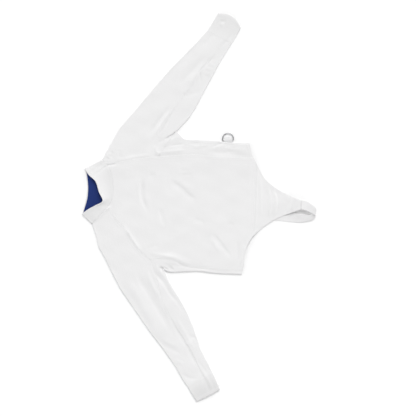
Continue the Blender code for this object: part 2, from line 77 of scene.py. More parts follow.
def through(points, steps=STEPS):
    """Points in metres on a smooth curve through the table's rows, steps of them to a row."""
    rows = np.array(points, float) * MM
    ends = np.vstack([2 * rows[0] - rows[1], rows, 2 * rows[-1] - rows[-2]])
    at = np.linspace(0, len(rows) - 1, steps * (len(rows) - 1) + 1)
    i = np.minimum(at.astype(int), len(rows) - 2)
    t = (at - i)[:, None]
    before, start, end, after = (ends[i + k] for k in range(4))
    return start + 0.5 * t * (end - before + t * (2 * before - 5 * start + 4 * end - after
                                                  + t * (3 * start - before - 3 * end + after)))


def lengths_of(points, axis=0):
    """Length from the first point to each point of a curve, or along one axis of a grid."""
    steps = np.linalg.norm(np.diff(points, axis=axis), axis=-1)
    return np.insert(np.cumsum(steps, axis=axis), 0, 0.0, axis=axis)


def edges_of(down, across):
    """Distance of each point of a grid from each of its four edges."""
    return {"start": down, "end": down[-1] - down,
            "first": across, "last": across[:, -1:] - across}


def at(curve, shares):
    """Points of a curve at shares of its length."""
    length = lengths_of(curve)
    shares = np.asarray(shares) * length[-1]
    return np.stack([np.interp(shares, length, axis) for axis in curve.T], axis=-1)


def spread(length, count, start=True, end=True):
    """Distances along one or more lengths: EDGE_LINES beside a cut edge, even ones between."""
    length = np.atleast_1d(length)[:, None]
    room = np.minimum(1.0, 0.45 * length / EDGE_LINES[-1])
    near = EDGE_LINES * room
    low = near[:, -1:] if start else 0 * length
    high = length - near[:, -1:] if end else length
    parts = [low + (high - low) * np.linspace(0, 1, count)]
    if start:
        parts.insert(0, near[:, :-1])
    if end:
        parts.append((length - near)[:, -2::-1])
    return np.hstack(parts)


def patch(start, end, first, last, rows, columns):
    """Plan between four edges: start and end run across, first and last from start to end.
    Also gives the distance of each point from each edge."""
    long = (lengths_of(first)[-1] + lengths_of(last)[-1]) / 2
    down = spread(long, rows)[0]
    u = down / long
    one, other = at(first, u), at(last, u)
    wide = np.linalg.norm(other - one, axis=1)
    out = spread(wide, columns)
    v = out / wide[:, None]
    u, v = u[:, None, None], v[..., None]
    across = (1 - v) * one[:, None] + v * other[:, None]
    along = (1 - u) * at(start, v[..., 0]) + u * at(end, v[..., 0])
    corners = ((1 - u) * (1 - v) * first[0] + u * (1 - v) * first[-1]
               + (1 - u) * v * last[0] + u * v * last[-1])
    down = np.broadcast_to(down[:, None], out.shape)
    return across + along - corners, edges_of(down, out)


def turned_normals(middle, ring=False):
    """Unit normals of a grid of points; the highest point's looks up."""
    down = np.gradient(middle, axis=0)
    if ring:
        across = np.roll(middle, -1, axis=1) - np.roll(middle, 1, axis=1)
    else:
        across = np.gradient(middle, axis=1)
    normals = np.cross(down, across)
    normals /= np.maximum(np.linalg.norm(normals, axis=2), 1e-12)[..., None]
    inside = middle[2:-2, 2:-2, 2]
    top = np.unravel_index(inside.argmax(), inside.shape)
    return normals * (1.0 if normals[top[0] + 2, top[1] + 2, 2] >= 0 else -1.0)


def row_at(values, distances, distance):
    """The line of a grid that keeps one distance from its first column."""
    return np.array([[np.interp(distance, far, axis) for axis in line.T]
                     for line, far in zip(values, distances)])


def flipped(edges, side, values):
    """Grid and distances turned so that the named edge is the first column."""
    distances = edges[side]
    if side in ("start", "end"):
        values, distances = values.swapaxes(0, 1), distances.T
    if side in ("last", "end"):
        values, distances = values[:, ::-1], distances[:, ::-1]
    return values, distances


def placed(name, data):
    """New object of the scene, at the origin."""
    made = bpy.data.objects.new(name, data)
    bpy.context.scene.collection.objects.link(made)
    return made


def mesh_piece(name, points, faces, finish, body="jacket"):
    """Smooth object at the origin with its place in its mesh, its faces looking out."""
    mesh = bpy.data.meshes.new(name)
    mesh.from_pydata(points, [], faces)
    shape = bmesh.new()
    shape.from_mesh(mesh)
    bmesh.ops.recalc_face_normals(shape, faces=shape.faces)
    shape.to_mesh(mesh)
    shape.free()
    mesh.polygons.foreach_set("use_smooth", [True] * len(mesh.polygons))
    mesh.materials.append(finish)
    made = placed(name, mesh)
    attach(made, body)
    return made


def cloth_piece(name, middle, edges, finish, node, sewn=(), thread="body",
                wall=WALL, ring=False, swell=0.0, blunt=()):
    """Closed wall of cloth over its middle surface, with rounded edges and stitched seams.
    sewn holds the topstitching: edge, then the distances of its rows from that edge. blunt names
    the edges that butt on the next piece with hardly a groove."""
    rows, columns = middle.shape[:2]
    normals = turned_normals(middle, ring)
    on_upper_side = smooth(normals[..., 2] / 0.5 + 0.2)
    seam = np.full((rows, columns), 0.1)
    for side, *places in sewn:
        seam = np.minimum(seam, edges[side] + (BLUNT_SEAM if side in blunt else 0.0))
        raise_by = ALLOWANCE * (1 - smooth((edges[side] - ALLOWANCE_WIDTH) / ALLOWANCE_EASE))
        for place in places:
            raise_by = raise_by - CHANNEL * np.exp(-((edges[side] - place) / CHANNEL_WIDTH) ** 2)
        middle = middle + (raise_by * on_upper_side)[..., None] * normals
    for side, *places in sewn:
        for place in places:
            points, far = flipped(edges, side, middle + normals * wall / 2)
            ups, far = flipped(edges, side, normals)
            line, up = row_at(points, far, place), row_at(ups, far, place)
            shown = np.flatnonzero(up[:, 2] > ROW_UP)
            if not ring:
                shown = shown[(shown >= ROW_END) & (shown < len(line) - ROW_END)]
            for stretch in np.split(shown, np.flatnonzero(np.diff(shown) > 1) + 1):
                stitch_rows.setdefault(thread, []).append((line[stretch], up[stretch]))

    # The wall thins to nothing in a quarter round at every cut edge.
    borders = [edges[side] * (BLUNT if side in blunt else 1.0)
               for side in (("start", "end") if ring else edges)]
    reach = np.clip(np.min(borders, axis=0) / (wall / 2), 0.0, 1.0)
    half = (wall / 2 + swell) * np.sqrt(np.maximum(0.0, 1 - (1 - reach) ** 2))
    half[0] = half[-1] = 0.0
    if not ring:
        half[:, 0] = half[:, -1] = 0.0
    upper = (middle + half[..., None] * normals).reshape(-1, 3)
    lower = (middle - half[..., None] * normals).reshape(-1, 3)
    on_top = np.arange(rows * columns).reshape(rows, columns)
    rim = half <= 0.0
    below = np.where(rim, on_top, -1)
    below[~rim] = rows * columns + np.arange((~rim).sum())
    points = np.vstack([upper, lower[~rim.ravel()]])
    faces = []
    for corners, order in ((on_top, 1), (below, -1)):
        right = np.roll(corners, -1, axis=1) if ring else corners[:, 1:]
        left = corners if ring else corners[:, :-1]
        quads = np.stack([left[:-1], left[1:], right[1:], right[:-1]], axis=-1).reshape(-1, 4)
        faces.append(quads[:, ::order])
    made = mesh_piece(name, points.tolist(), np.vstack(faces).tolist(), finish)

    # Places on the cut cloth, in metres, for the weave, and the distance from a stitched edge,
    # which sets the puckers and the painted shade in the seams' grooves.
    down = lengths_of(middle).mean(axis=1, keepdims=True)
    flat = np.stack(np.broadcast_arrays(lengths_of(middle, 1), down), axis=-1).reshape(-1, 2)
    flat = np.vstack([flat, flat[~rim.ravel()]])
    seam = np.r_[seam.ravel(), seam[~rim]]
    corner = np.zeros(len(made.data.loops), int)
    made.data.loops.foreach_get("vertex_index", corner)
    made.data.uv_layers.new(name="cut").data.foreach_set("uv", flat[corner].ravel())
    made.data.attributes.new("seam", "FLOAT", "POINT").data.foreach_set("value", seam)
    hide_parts(node)
    return made


class Wire:
    """A value in a material, so that shader maths is written as an expression."""

    def __init__(self, tree, socket):
        self.tree = tree
        self.socket = socket

    def math(self, operation, *values):
        made = add_node(self.tree, "ShaderNodeMath", {"operation": operation},
                        dict(enumerate(values)))
        return Wire(self.tree, made.outputs[0])

    def __add__(self, other):
        return self.math("ADD", self, other)

    def __sub__(self, other):
        return self.math("SUBTRACT", self, other)

    def __rsub__(self, other):
        return self.math("SUBTRACT", other, self)

    def __mul__(self, other):
        return self.math("MULTIPLY", self, other)

    def sine(self):
        return self.math("SINE", self)

    def limited(self):
        made = add_node(self.tree, "ShaderNodeClamp", {}, {0: self})
        return Wire(self.tree, made.outputs[0])


def add_node(tree, kind, settings, sockets):
    """New node: its settings first, then the values of its sockets, or what feeds them."""
    made = tree.nodes.new(kind)
    for key, value in settings.items():
        setattr(made, key, value)
    for key, value in sockets.items():
        if isinstance(value, bpy.types.Node):
            value = Wire(tree, value.outputs[0])
        if isinstance(value, Wire):
            tree.links.new(value.socket, made.inputs[key])
        else:
            made.inputs[key].default_value = value
    return made


def new_finish(name, roughness, sheen=0.0, metallic=0.0):
    """Empty material with its shader, and the constants that don't change over the surface."""
    made = bpy.data.materials.new(name)
    made.use_nodes = True
    shader = made.node_tree.nodes["Principled BSDF"]
    shader.inputs["Roughness"].default_value = roughness
    shader.inputs["Metallic"].default_value = metallic
    shader.inputs["Sheen Weight"].default_value = sheen
    shader.inputs["Sheen Roughness"].default_value = 0.45
    shader.inputs["Specular IOR Level"].default_value = 0.5 if metallic else 0.22
    return made, made.node_tree, shader


def noise(tree, place, scale, detail=2.0):
    """Soft random value between 0 and 1, with about scale lumps to the metre."""
    made = add_node(tree, "ShaderNodeTexNoise", {},
                    {"Vector": place, "Scale": scale, "Detail": detail})
    return Wire(tree, made.outputs["Fac"])


def paint(tree, shader, tone, dark, light):
    """Base colour between two shades of the cloth."""
    mixed = add_node(tree, "ShaderNodeMix", {"data_type": "RGBA"},
                     {0: tone, 6: (*dark, 1.0), 7: (*light, 1.0)})
    tree.links.new(mixed.outputs[2], shader.inputs["Base Color"])


def emboss(tree, shader, height):
    """Surface relief from a height in metres."""
    bump = add_node(tree, "ShaderNodeBump", {}, {"Strength": 1.0, "Distance": 1.0,
                                                 "Height": height})
    tree.links.new(bump.outputs["Normal"], shader.inputs["Normal"])


def cut_place(tree):
    """Place on the cut cloth, across and down."""
    made = add_node(tree, "ShaderNodeUVMap", {"uv_map": "cut"}, {})
    split = add_node(tree, "ShaderNodeSeparateXYZ", {}, {0: made})
    return Wire(tree, split.outputs[0]), Wire(tree, split.outputs[1])


def object_place(tree):
    """Place in the object, in metres."""
    made = add_node(tree, "ShaderNodeTexCoord", {}, {})
    return Wire(tree, made.outputs["Object"])


RIB_RELIEF = 0.00002    # height of the weave's ribs
PUCKER_RELIEF = 0.00030
PUCKER_REACH = 0.012    # how far from a seam the cloth puckers
GROOVE_SHADE_REACH = 0.0007   # how far from it shade is painted into the cloth's colour, in the seam's groove


def twill(name, dark, light, roughness, sheen, rib=0.0008, crumple=0.00022, fade=None):
    """Woven cloth: diagonal ribs, small crumples, puckers along its seams, uneven tone and painted
    shade in the grooves of its seams.
    fade is the distance down the piece over which it turns from the light to the dark shade."""
    made, tree, shader = new_finish(name, roughness, sheen)
    across, down = cut_place(tree)
    place = object_place(tree)
    ribs = ((across + down * 0.8) * (2 * pi / rib)).sine()
    seam = Wire(tree, add_node(tree, "ShaderNodeAttribute", {"attribute_name": "seam"},
                               {}).outputs["Fac"])
    beside_seam = (1 - seam * (1 / PUCKER_REACH)).limited()
    # Painted shade: the cloth's colour darkens within GROOVE_SHADE_REACH of a sewn edge, standing
    # in for the shade in the seam's groove.
    groove = (1 - seam * (1 / GROOVE_SHADE_REACH)).limited()
    soft = noise(tree, place, 16.0, 3.0)
    puckers = noise(tree, place, 150.0, 1.0)
    height = (ribs * RIB_RELIEF + noise(tree, place, 60.0, 3.0) * (crumple * 1.6)
              + noise(tree, place, 210.0, 2.0) * (crumple * 0.35)
              + puckers * beside_seam * PUCKER_RELIEF)
    emboss(tree, shader, height)
    slubs = noise(tree, place, 900.0, 1.0)
    # The groove term takes painted shade off the tone beside the seams.
    tone = soft * 0.55 + slubs * 0.25 + 0.12 - groove * 0.5
    if fade:
        tone = (tone * 0.5 + 0.5) * (1 - (down * (1 / fade)).limited() * 0.8)
    paint(tree, shader, tone.limited(), dark, light)
    return made


white_cloth = twill("white_cloth", (0.752, 0.750, 0.752), (0.800, 0.798, 0.800), 0.86, 0.12)

right_under = through([
    (-416, -34), (-376, -74), (-332, -114), (-288, -152), (-238, -188), (-185, -217),
    (-212, -306), (-200, -378), (-175, -434), (-142, -486), (-111, -532), (-84, -577),
    (-60, -619), (-37, -666), (-13, -700)])
left_under = through([
    (-394, 172), (-350, 170), (-304, 174), (-254, 184), (-205, 197), (-155.6, 212),
    (-190, 290), (-186, 352), (-168, 400), (-138, 446), (-100, 490), (-60, 536), (-20, 588),
    (22, 640), (62, 691)])
ARMPIT = 5 * STEPS      # place of the armpit among the points of a sleeve's curve
right_side_under = through([(-185, -217), (-150, -222), (-116, -226), (-84, -228), (-50, -228),
                            (-10, -228), (64, -232), (168, -240)])
left_side_under = through([(-155.6, 212), (-134, 228), (-112, 236), (-80, 241), (-46, 242),
                           (2, 241), (72, 238), (120, 231), (194, 229)])
neck_back = through([(-394, 172), (-388, 120), (-382, 60), (-385, 8), (-416, -34)])
plan, edges = patch(neck_back, np.array([left_side_under[-1], right_side_under[-1]]),
                    np.vstack([left_under[:ARMPIT], left_side_under]),
                    np.vstack([right_under[:ARMPIT], right_side_under]), 84, 64)
cloth_piece("back_panel", np.dstack([plan, np.full(plan.shape[:2], BED)]), edges,
                   white_cloth, "back")

# ---- How the upper layer lies ----
# The sleeves and sides turn over in a small roll along their folded edges, and the layer between
# them lies a little higher. Its creases are soft ridges and troughs, pressed in by packing and
# handling: longer ones down the sleeves, short ones at the elbows, armpits and side seams.
# Ways out of the cloth where the folded edges end at the neck and meet at the armpit.
RIGHT_NECK_OUT, RIGHT_ARMPIT_OUT = (-0.84, -0.54), (0.86, -0.51)
LEFT_NECK_OUT, LEFT_ARMPIT_OUT = (-0.70, 0.71), (1.0, 0.03)
ROLL = 0.00255          # radius of the middle of the cloth where it turns at an edge
EDGE = ROLL + WALL / 2
LOFT = 0.0012           # extra height away from the rolled edges
LOFT_REACH = 0.050
FOLD_EASE = 0.007       # distance from the rolls over which the creases reach their height
HEM_FALL = (0.196, 0.271)       # along X, where the crotch point sinks past the back's hem
STRAP_SPAN = (-0.095, 0.070)    # across Y, where it sinks onto the strap that runs under it
STRAP_EASE = (0.030, 0.060)
STRAP_ROOM = 0.0026             # height of that strap, with some play
TIP_RISE = 0.012                # how high the point's tip stands off the surface
TIP_SPAN = (0.330, 0.406)       # along X, where it rises
right_outer = through([
    (-427, -66), (-414, -108), (-401, -158), (-375, -206), (-348, -262), (-316, -323),
    (-286, -368), (-252, -417), (-217, -468), (-182, -517), (-150, -558), (-118, -603),
    (-92, -641), (-68, -684), (-45, -718)])
left_outer = through([
    (-387, 191), (-366, 231), (-346, 268), (-330, 297), (-318, 316), (-300, 338), (-280, 361),
    (-254, 390), (-222, 429), (-183, 475), (-142, 522), (-99, 570), (-53, 617), (-4, 667),
    (33, 706)])
right_inner = through([(-139, -249), (-128, -277), (-110, -312), (-83, -354), (-50, -413),
                       (-27, -466), (-9, -515), (8, -567), (36, -620), (56, -662)])
left_inner = through([(-90, 302), (-83, 310), (-72, 322), (-54, 341), (-34, 366), (-8, 408),
                      (18, 458), (56, 526), (92, 593), (131, 655)])
right_side_edge = through([(-139, -249), (-128, -256), (-104, -260), (-72, -258), (-40, -257),
                           (0, -256), (70, -264), (172, -268)])
left_side_edge = through([(-90, 302), (-78, 293), (-60, 275), (-40, 271), (-16, 270), (14, 270),
                          (75, 266), (124, 259), (200, 259)])
right_cuff_end = np.array([(-10, -776), (84, -727)]) * MM       # outer and inner corner
left_cuff_end = np.array([(77, 776.1), (168, 718)]) * MM
folded_edges = [line[::STEPS // 2] for line in (right_outer, right_inner, left_outer, left_inner,
                                                right_side_edge, left_side_edge)]
folded_edges += [np.array(ends) for ends in (
    (right_outer[-1], right_cuff_end[0]), (left_outer[-1], left_cuff_end[0]),
    (right_inner[-1], right_cuff_end[1]), (left_inner[-1], left_cuff_end[1]))]
CREASES = [
    # half width, height, lean, then the line of the crease
    # chest and belly
    (8, -2.8, 0.0, (-226, 128), (-228, 84), (-225, 36), (-204, -24)),
    (9, 0.7, 0.0, (-242, 120), (-243, 76), (-238, 26)),
    (8, -1.4, 0.2, (-156, 0), (-148, -45), (-137, -80)),
    (11, -2.0, -0.3, (-122, 112), (-72, 78), (-40, 48), (-2, 28)),
    (10, 0.8, 0.0, (-100, 118), (-56, 90), (-20, 66)),
    (14, -1.3, 0.0, (-204, 130), (-172, 122)),
    (7, -0.7, 0.0, (-84, 150), (-36, 147)),
    (7, -0.7, 0.0, (-78, 131), (-26, 129)),
    (8, 1.3, 0.0, (40, -116), (64, -150), (92, -188)),
    (7, -1.8, -0.4, (52, -98), (80, -134), (106, -168), (134, -206)),
    (9, -0.9, 0.0, (-24, -46), (26, -64)),
    (8, -0.8, 0.0, (104, -70), (144, -66)),
    # right side
    (7, -1.5, 0.2, (-130, -198), (-92, -213), (-69, -232), (-23, -241), (70, -247)),
    (19, 2.2, 0.0, (206, -138), (199, -190), (193, -246)),
    (12, 2.0, 0.0, (-152, -188), (-110, -194), (-72, -213), (-16, -224)),
    (7, 1.6, 0.0, (-200, -184), (-133, -194), (-80, -212)),
    (2.2, -1.5, -0.2, (-154, -231), (-110, -232), (-62, -238)),
    (6, -4.5, -0.5, (-158, -244), (-140, -243), (-126, -245)),
    (5, -4.5, -0.5, (-124, -240), (-114, -240), (-102, -242)),
    (8, -1.0, 0.0, (-216, -172), (-188, -158), (-156, -148)),
    (7, 1.8, 0.0, (-306, -72), (-276, -112), (-250, -150), (-224, -186)),
    (9, -2.0, 0.3, (150, -128), (156, -180), (150, -244)),
    (7, 1.3, 0.0, (172, -140), (174, -186), (166, -240)),
    # left side and closure
    (6, 1.3, 0.0, (-344, 184), (-300, 191), (-261, 200), (-206, 207), (-176, 210)),
    (12, -1.6, 0.2, (18, 221), (70, 218), (124, 214), (226, 200)),
    (11, 1.4, 0.0, (14, 234), (80, 236), (150, 232), (200, 226)),
    (6, -1.0, 0.0, (102, 223), (166, 225)),
    (7, -1.0, 0.0, (118, 237), (170, 235)),
    (5, -1.2, 0.0, (52, 240), (74, 249), (94, 258)),
    (5, 1.2, 0.0, (64, 236), (86, 245), (106, 253)),
    (6, 1.0, 0.0, (-30, 236), (10, 244), (44, 252)),
    (6, -1.0, 0.0, (-36, 252), (4, 258)),
    (6, -1.6, 0.0, (-162, 242), (-110, 247), (-50, 253)),
    (7, 1.6, 0.0, (-170, 216), (-110, 223), (-50, 230)),
    (8, -4.4, -0.75, (-142, 270), (-120, 283), (-104, 293), (-84, 309)),
    (7, 2.0, 0.0, (-130, 260), (-100, 276), (-66, 276)),
    (6, -1.4, 0.0, (-166, 256), (-140, 270)),
    (8, 2.4, 0.0, (-178, 250), (-168, 218), (-144, 210)),
    # crotch point
    (6, 2.0, 0.0, (274, 92), (284, 34), (279, -44)),
    (7, 3.8, -0.4, (298, 78), (309, 28), (301, -46)),
    (8, 2.6, 0.3, (356, 56), (365, 18), (361, -24)),
    (6, 1.0, 0.0, (240, 130), (248, 60), (244, -40)),
    # right sleeve
    (15, -2.8, 0.2, (-252, -236), (-234, -291), (-202, -346), (-165, -406), (-133, -461),
     (-92, -518)),
    (17, 2.4, 0.0, (-300, -268), (-252, -346), (-206, -420), (-179, -475), (-146, -520)),
    (8, 1.8, 0.0, (-218, -236), (-196, -290), (-170, -340), (-148, -384)),
    (8, -2.2, 0.2, (-196, -205), (-174, -264), (-142, -300), (-115, -346), (-87, -378),
     (-62, -420)),
    (7, 1.4, 0.0, (-182, -200), (-156, -256), (-124, -290), (-98, -336)),
    (6, -1.0, 0.0, (-172, -214), (-156, -258)),
    (7, -2.2, -0.3, (-122, -425), (-87, -489), (-53, -545), (-28, -592), (-2, -642), (16, -672)),
    (7, 1.2, 0.0, (-100, -425), (-66, -486), (-34, -540), (-8, -590)),
    (11, -1.5, 0.3, (-172, -540), (-115, -565), (-66, -588)),
    (9, 0.8, 0.0, (-150, -522), (-112, -545), (-80, -560)),
    (8, -2.0, 0.0, (-48, -524), (-14, -520), (2, -562)),
    (7, 1.0, 0.0, (-60, -545), (-30, -545)),
    (7, -1.3, 0.0, (-76, -660), (-41, -681), (-4, -684)),
    (7, 0.8, 0.0, (-100, -606), (-58, -632)),
    (6, -1.6, -0.2, (-2, -640), (14, -672), (32, -706), (46, -742)),
    (6, 1.0, 0.0, (20, -654), (36, -690), (56, -732)),
    (6, -0.8, 0.0, (-20, -596), (14, -640), (40, -672)),
    # left sleeve
    (8, 2.2, 0.2, (-188, 266), (-142, 348), (-116, 390)),
    (10, -2.6, -0.2, (-208, 280), (-153, 355), (-108, 414)),
    (7, -1.6, 0.0, (-160, 284), (-124, 348), (-98, 394)),
    (12, -2.0, 0.0, (-76, 468), (-62, 507), (-26, 547), (-1, 576), (34, 610)),
    (11, 1.4, 0.0, (-44, 478), (-20, 520), (16, 558)),
    (11, 1.2, 0.0, (-104, 500), (-80, 540), (-44, 580)),
    (4.5, -1.9, 0.0, (10, 485), (5, 522), (3, 540), (17, 558), (39, 583), (50, 592), (80, 592)),
    (5, -1.4, 0.0, (19, 531), (36, 520), (52, 514)),
    (4, 1.1, 0.0, (16, 542), (44, 528)),
    (4, 1.1, 0.0, (26, 558), (58, 544)),
    (4, 1.0, 0.0, (38, 573), (68, 560)),
    (4, -0.9, 0.0, (22, 550), (50, 536)),
    (4, -0.9, 0.0, (32, 566), (62, 552)),
    (10, -1.3, 0.2, (-68, 437), (-12, 457), (10, 473)),
    (9, 0.8, 0.0, (-74, 456), (-20, 478)),
    (6, -1.3, 0.0, (140, 710), (119, 674), (90, 645), (72, 616)),
    (6, -1.8, 0.0, (82, 748), (95, 741), (108, 746)),
    (6, 1.1, 0.0, (84, 728), (102, 729)),
    (8, -0.9, 0.0, (14, 640), (40, 668), (48, 700)),
    # shoulders and neck
    (6, 3.2, 0.0, (-346, 6), (-370, -10), (-396, -35), (-424, -62)),
    (4, -2.4, -0.3, (-374, 168), (-358, 169), (-342, 172), (-320, 181)),
    (8, 1.4, 0.0, (-368, 196), (-350, 218)),
    (7, -1.4, 0.0, (-354, 194), (-344, 226)),
    (8, -1.0, 0.0, (-318, 194), (-314, 232)),
    (9, -0.9, 0.0, (-348, -12), (-334, -46)),
]
# Slow waves of the cloth: length in metres, direction and phase in radians, and height, which is
# in millimetres like a crease's.
WAVES = [(0.118, 0.4, 0.3, 0.34), (0.083, 1.9, 1.7, 0.30), (0.151, 2.7, 4.1, 0.44),
         (0.057, 1.1, 2.9, 0.15), (0.066, 2.2, 5.3, 0.16)]


def to_line(points, line):
    """Distance from each point to a line of points, the share of its length there, and side."""
    nearest = np.full(points.shape[:-1], np.inf)
    share = np.zeros(points.shape[:-1])
    side = np.zeros(points.shape[:-1])
    passed = lengths_of(line)
    for start, end, before in zip(line[:-1], line[1:], passed):
        span = end - start
        along = np.clip(((points - start) @ span) / (span @ span), 0.0, 1.0)
        away = points - (start + along[..., None] * span)
        distance = np.linalg.norm(away, axis=-1)
        closer = distance < nearest
        nearest = np.where(closer, distance, nearest)
        share = np.where(closer, (before + along * np.linalg.norm(span)) / passed[-1], share)
        side = np.where(closer, np.sign(span[0] * away[..., 1] - span[1] * away[..., 0]), side)
    return nearest, share, side


def lie(points):
    """Height of the middle of the upper layer over points of the plan."""
    x, y = points[..., 0], points[..., 1]
    inside = np.min([to_line(points, line)[0] for line in folded_edges], axis=0) - EDGE
    relief = np.zeros(x.shape)
    for width, height, lean, *line in CREASES:
        line = through(line, 3)
        low = line.min(axis=0) - 3 * width * MM
        high = line.max(axis=0) + 3 * width * MM
        near = ((points > low) & (points < high)).all(axis=-1)
        if near.any():
            distance, share, side = to_line(points[near], line)
            ends = smooth(share / 0.3) * smooth((1 - share) / 0.3)
            across = distance / (width * MM * (1 + lean * side))
            relief[near] += height * MM * ends * np.exp(-across ** 2)
    for length, turn, phase, height in WAVES:
        relief += height * MM * np.sin((x * np.cos(turn) + y * np.sin(turn)) * 2 * pi / length
                                       + phase)
    height = BED + 2 * ROLL + LOFT * smooth(inside / LOFT_REACH)
    height = height + relief * smooth(inside / FOLD_EASE)
    over_strap = (smooth((y - STRAP_SPAN[0]) / STRAP_EASE[0])
                  * smooth((STRAP_SPAN[1] - y) / STRAP_EASE[1]))
    fall = smooth((x - HEM_FALL[0]) / (HEM_FALL[1] - HEM_FALL[0]))
    rise = TIP_RISE * smooth((x - TIP_SPAN[0]) / (TIP_SPAN[1] - TIP_SPAN[0]))
    low = BED + STRAP_ROOM * over_strap + rise
    # No crease presses the point into the strap or the surface.
    low = low + np.maximum(relief, -0.15 * STRAP_ROOM * over_strap - 0.4 * rise)
    return height * (1 - fall) + low * fall


# ---- Front ----
# A large right front whose left edge is the flap that covers the zip, and a narrow left front
# beside it. Both are topstitched in twin rows; a third row down the flap holds its facing.
FLAP_LAP = 0.012        # how far the flap covers the pieces next to the closure
FLAP_FALL = 0.075       # distance over which it sinks back to the layer below
FLAP_LIFT = WALL + 0.0002       # the piece under it, and a little room
FLAP_START = -0.384     # along X, where it begins to lift
FLAP_EASE = 0.034
COVER_START = -0.350    # along X, where it begins to cover
COVER_EASE = 0.030
FACING = 0.030          # row of the facing, from the flap's edge
closure = through([(-382, 181), (-331, 178), (-261, 192), (-184, 201), (-29, 211), (64, 203),
                   (219, 197)], 16)
neck_front = through([(-382, 181), (-364, 165), (-348, 129), (-342, 69), (-349, 27), (-366, 0)],
                     16)
point_seam = through([(223, 187), (230, 149), (227, 100), (225, 20), (222, -50), (214, -118)], 12)
right_hem = through([(214, -118), (196, -147), (184, -182), (179, -225), (174, -254)], 12)
right_seam = through([
    (-366, 0), (-325, -58), (-290, -92), (-262, -142), (-230, -180), (-197, -209), (-176, -262),
    (-160, -322), (-142, -383), (-115, -438), (-87, -489), (-55, -539), (-30, -580), (-4, -636),
    (20, -682)])
left_seam = through([
    (-382, 181), (-352, 178), (-312, 170), (-262, 179), (-215, 186), (-172, 190), (-166, 248),
    (-150, 300), (-126, 350), (-96, 398), (-58, 447), (-18, 498), (20, 555), (64, 612),
    (112, 666)])
right_side_seam = through([(-197, -209), (-160, -204), (-124, -204), (-92, -214), (-62, -231),
                           (-20, -242), (60, -248), (174, -254)])
left_side_seam = through([(-160, 206.4), (-146, 220), (-124, 236), (-92, 247), (-58, 251),
                          (0, 256), (75, 252), (124, 245), (204, 245)])
shoulder = left_seam[:ARMPIT + 1]
shoulder[:, 1] = (np.interp(shoulder[:, 0], closure[:, 0], closure[:, 1])
                  - FLAP_LAP * smooth((shoulder[:, 0] - COVER_START) / COVER_EASE))


def flap_lift(points):
    """How far the front is lifted where it covers the pieces beside the closure."""
    x, y = points[..., 0], points[..., 1]
    inside = np.interp(x, closure[:, 0], closure[:, 1]) - y
    near_edge = 1 - smooth((inside - FLAP_LAP - MM) / FLAP_FALL)
    return FLAP_LIFT * near_edge * smooth((x - FLAP_START) / FLAP_EASE)


def on_top(plan, lifted=False):
    """Plan with its height on the upper layer."""
    return np.dstack([plan, lie(plan) + (flap_lift(plan) if lifted else 0.0)])


def seam_on_top(thread, points, over=0.0):
    """Row of thread along a line on top of the cloth."""
    line = through(points, 10)
    height = lie(line) + WALL / 2 + over
    ups = np.tile((0.0, 0.0, 1.0), (len(line), 1))
    stitch_rows.setdefault(thread, []).append((np.column_stack([line, height]), ups))


plan, edges = patch(neck_front, np.vstack([closure[-1:], point_seam, right_hem[1:]]), closure,
                    np.vstack([right_seam[:ARMPIT], right_side_seam]), 138, 96)
cloth_piece("front_main_cloth", on_top(plan, True), edges, white_cloth, "front_main",
                         [("first", *TWIN, FACING), ("last", *TWIN), ("end", *TWIN)],
                         blunt=["end", "last"])
left_edge = closure[closure[:, 0] > left_seam[ARMPIT, 0]] - (0.0, FLAP_LAP)
left_edge = np.vstack([left_seam[ARMPIT], left_edge])
plan, edges = patch(np.array([left_edge[0], left_side_seam[0]]),
                    np.array([left_edge[-1], left_side_seam[-1]]), left_edge, left_side_seam,
                    84, 12)
cloth_piece("front_left_cloth", on_top(plan), edges, white_cloth, "front_left",
                         [("last", *TWIN), ("end", 0.006, 0.012)],
                         blunt=["start", "last"])
# A last row runs along the front's lower edge, above the seam of the crotch point and the hem.
seam_on_top("body", [(212, 180), (219, 149), (216, 100), (214, 20), (212, -42), (203, -106),
                     (180, -148), (163, -186), (157, -240)])

# ---- Sides ----
# An underarm piece on each side, which turns round the folded edge of the jacket from the
# front's seam to the back's. Twin rows of stitches hold its hem.
TURNS = 11              # points round a roll
ARMPIT_ROWS = 8         # rows of the mesh over which the fold turns away from the sleeve's


def outward(curve, side):
    """Unit vector out of the cloth at each point of an edge; side is +1 or -1."""
    tangent = np.gradient(curve, axis=0)
    normal = np.column_stack([-tangent[:, 1], tangent[:, 0]]) * side
    return normal / np.linalg.norm(normal, axis=1)[:, None]


def onto(point, start, end):
    """The point moved square onto the line from start to end."""
    span = end - start
    return start + span * ((point - start) @ span) / (span @ span)


def unit(vector):
    return np.array(vector) / np.linalg.norm(vector)


def roll(edge, out):
    """Half turns at an edge, from the upper layer to the one on the surface."""
    turn = np.linspace(0.0, pi, TURNS)
    centre = edge - out * EDGE
    plan = centre[:, None] + ROLL * out[:, None] * np.sin(turn)[:, None]
    height = np.broadcast_to(BED + ROLL + ROLL * np.cos(turn), plan.shape[:2])
    return np.dstack([plan, height])


def wrapped(seam, edge, out, under, above, below):
    """Rows that run over the top from seam to edge, turn there and come back underneath."""
    turn = roll(edge, out)
    wide = np.linalg.norm(turn[:, 0, :2] - seam, axis=1)
    share = spread(wide, above, end=False)[:, :-1, None] / wide[:, None, None]
    plan = seam[:, None] + share * (turn[:, :1, :2] - seam[:, None])
    top = np.dstack([plan, lie(plan)])
    wide = np.linalg.norm(under - turn[:, -1, :2], axis=1)
    share = spread(wide, below, start=False)[:, 1:, None] / wide[:, None, None]
    plan = turn[:, -1:, :2] + share * (under[:, None] - turn[:, -1:, :2])
    bottom = np.dstack([plan, np.full(plan.shape[:2], BED)])
    middle = np.hstack([top, turn, bottom])
    across = lengths_of(middle, 1)
    down = np.broadcast_to(lengths_of(edge)[:, None], across.shape)
    return middle, edges_of(down, across)


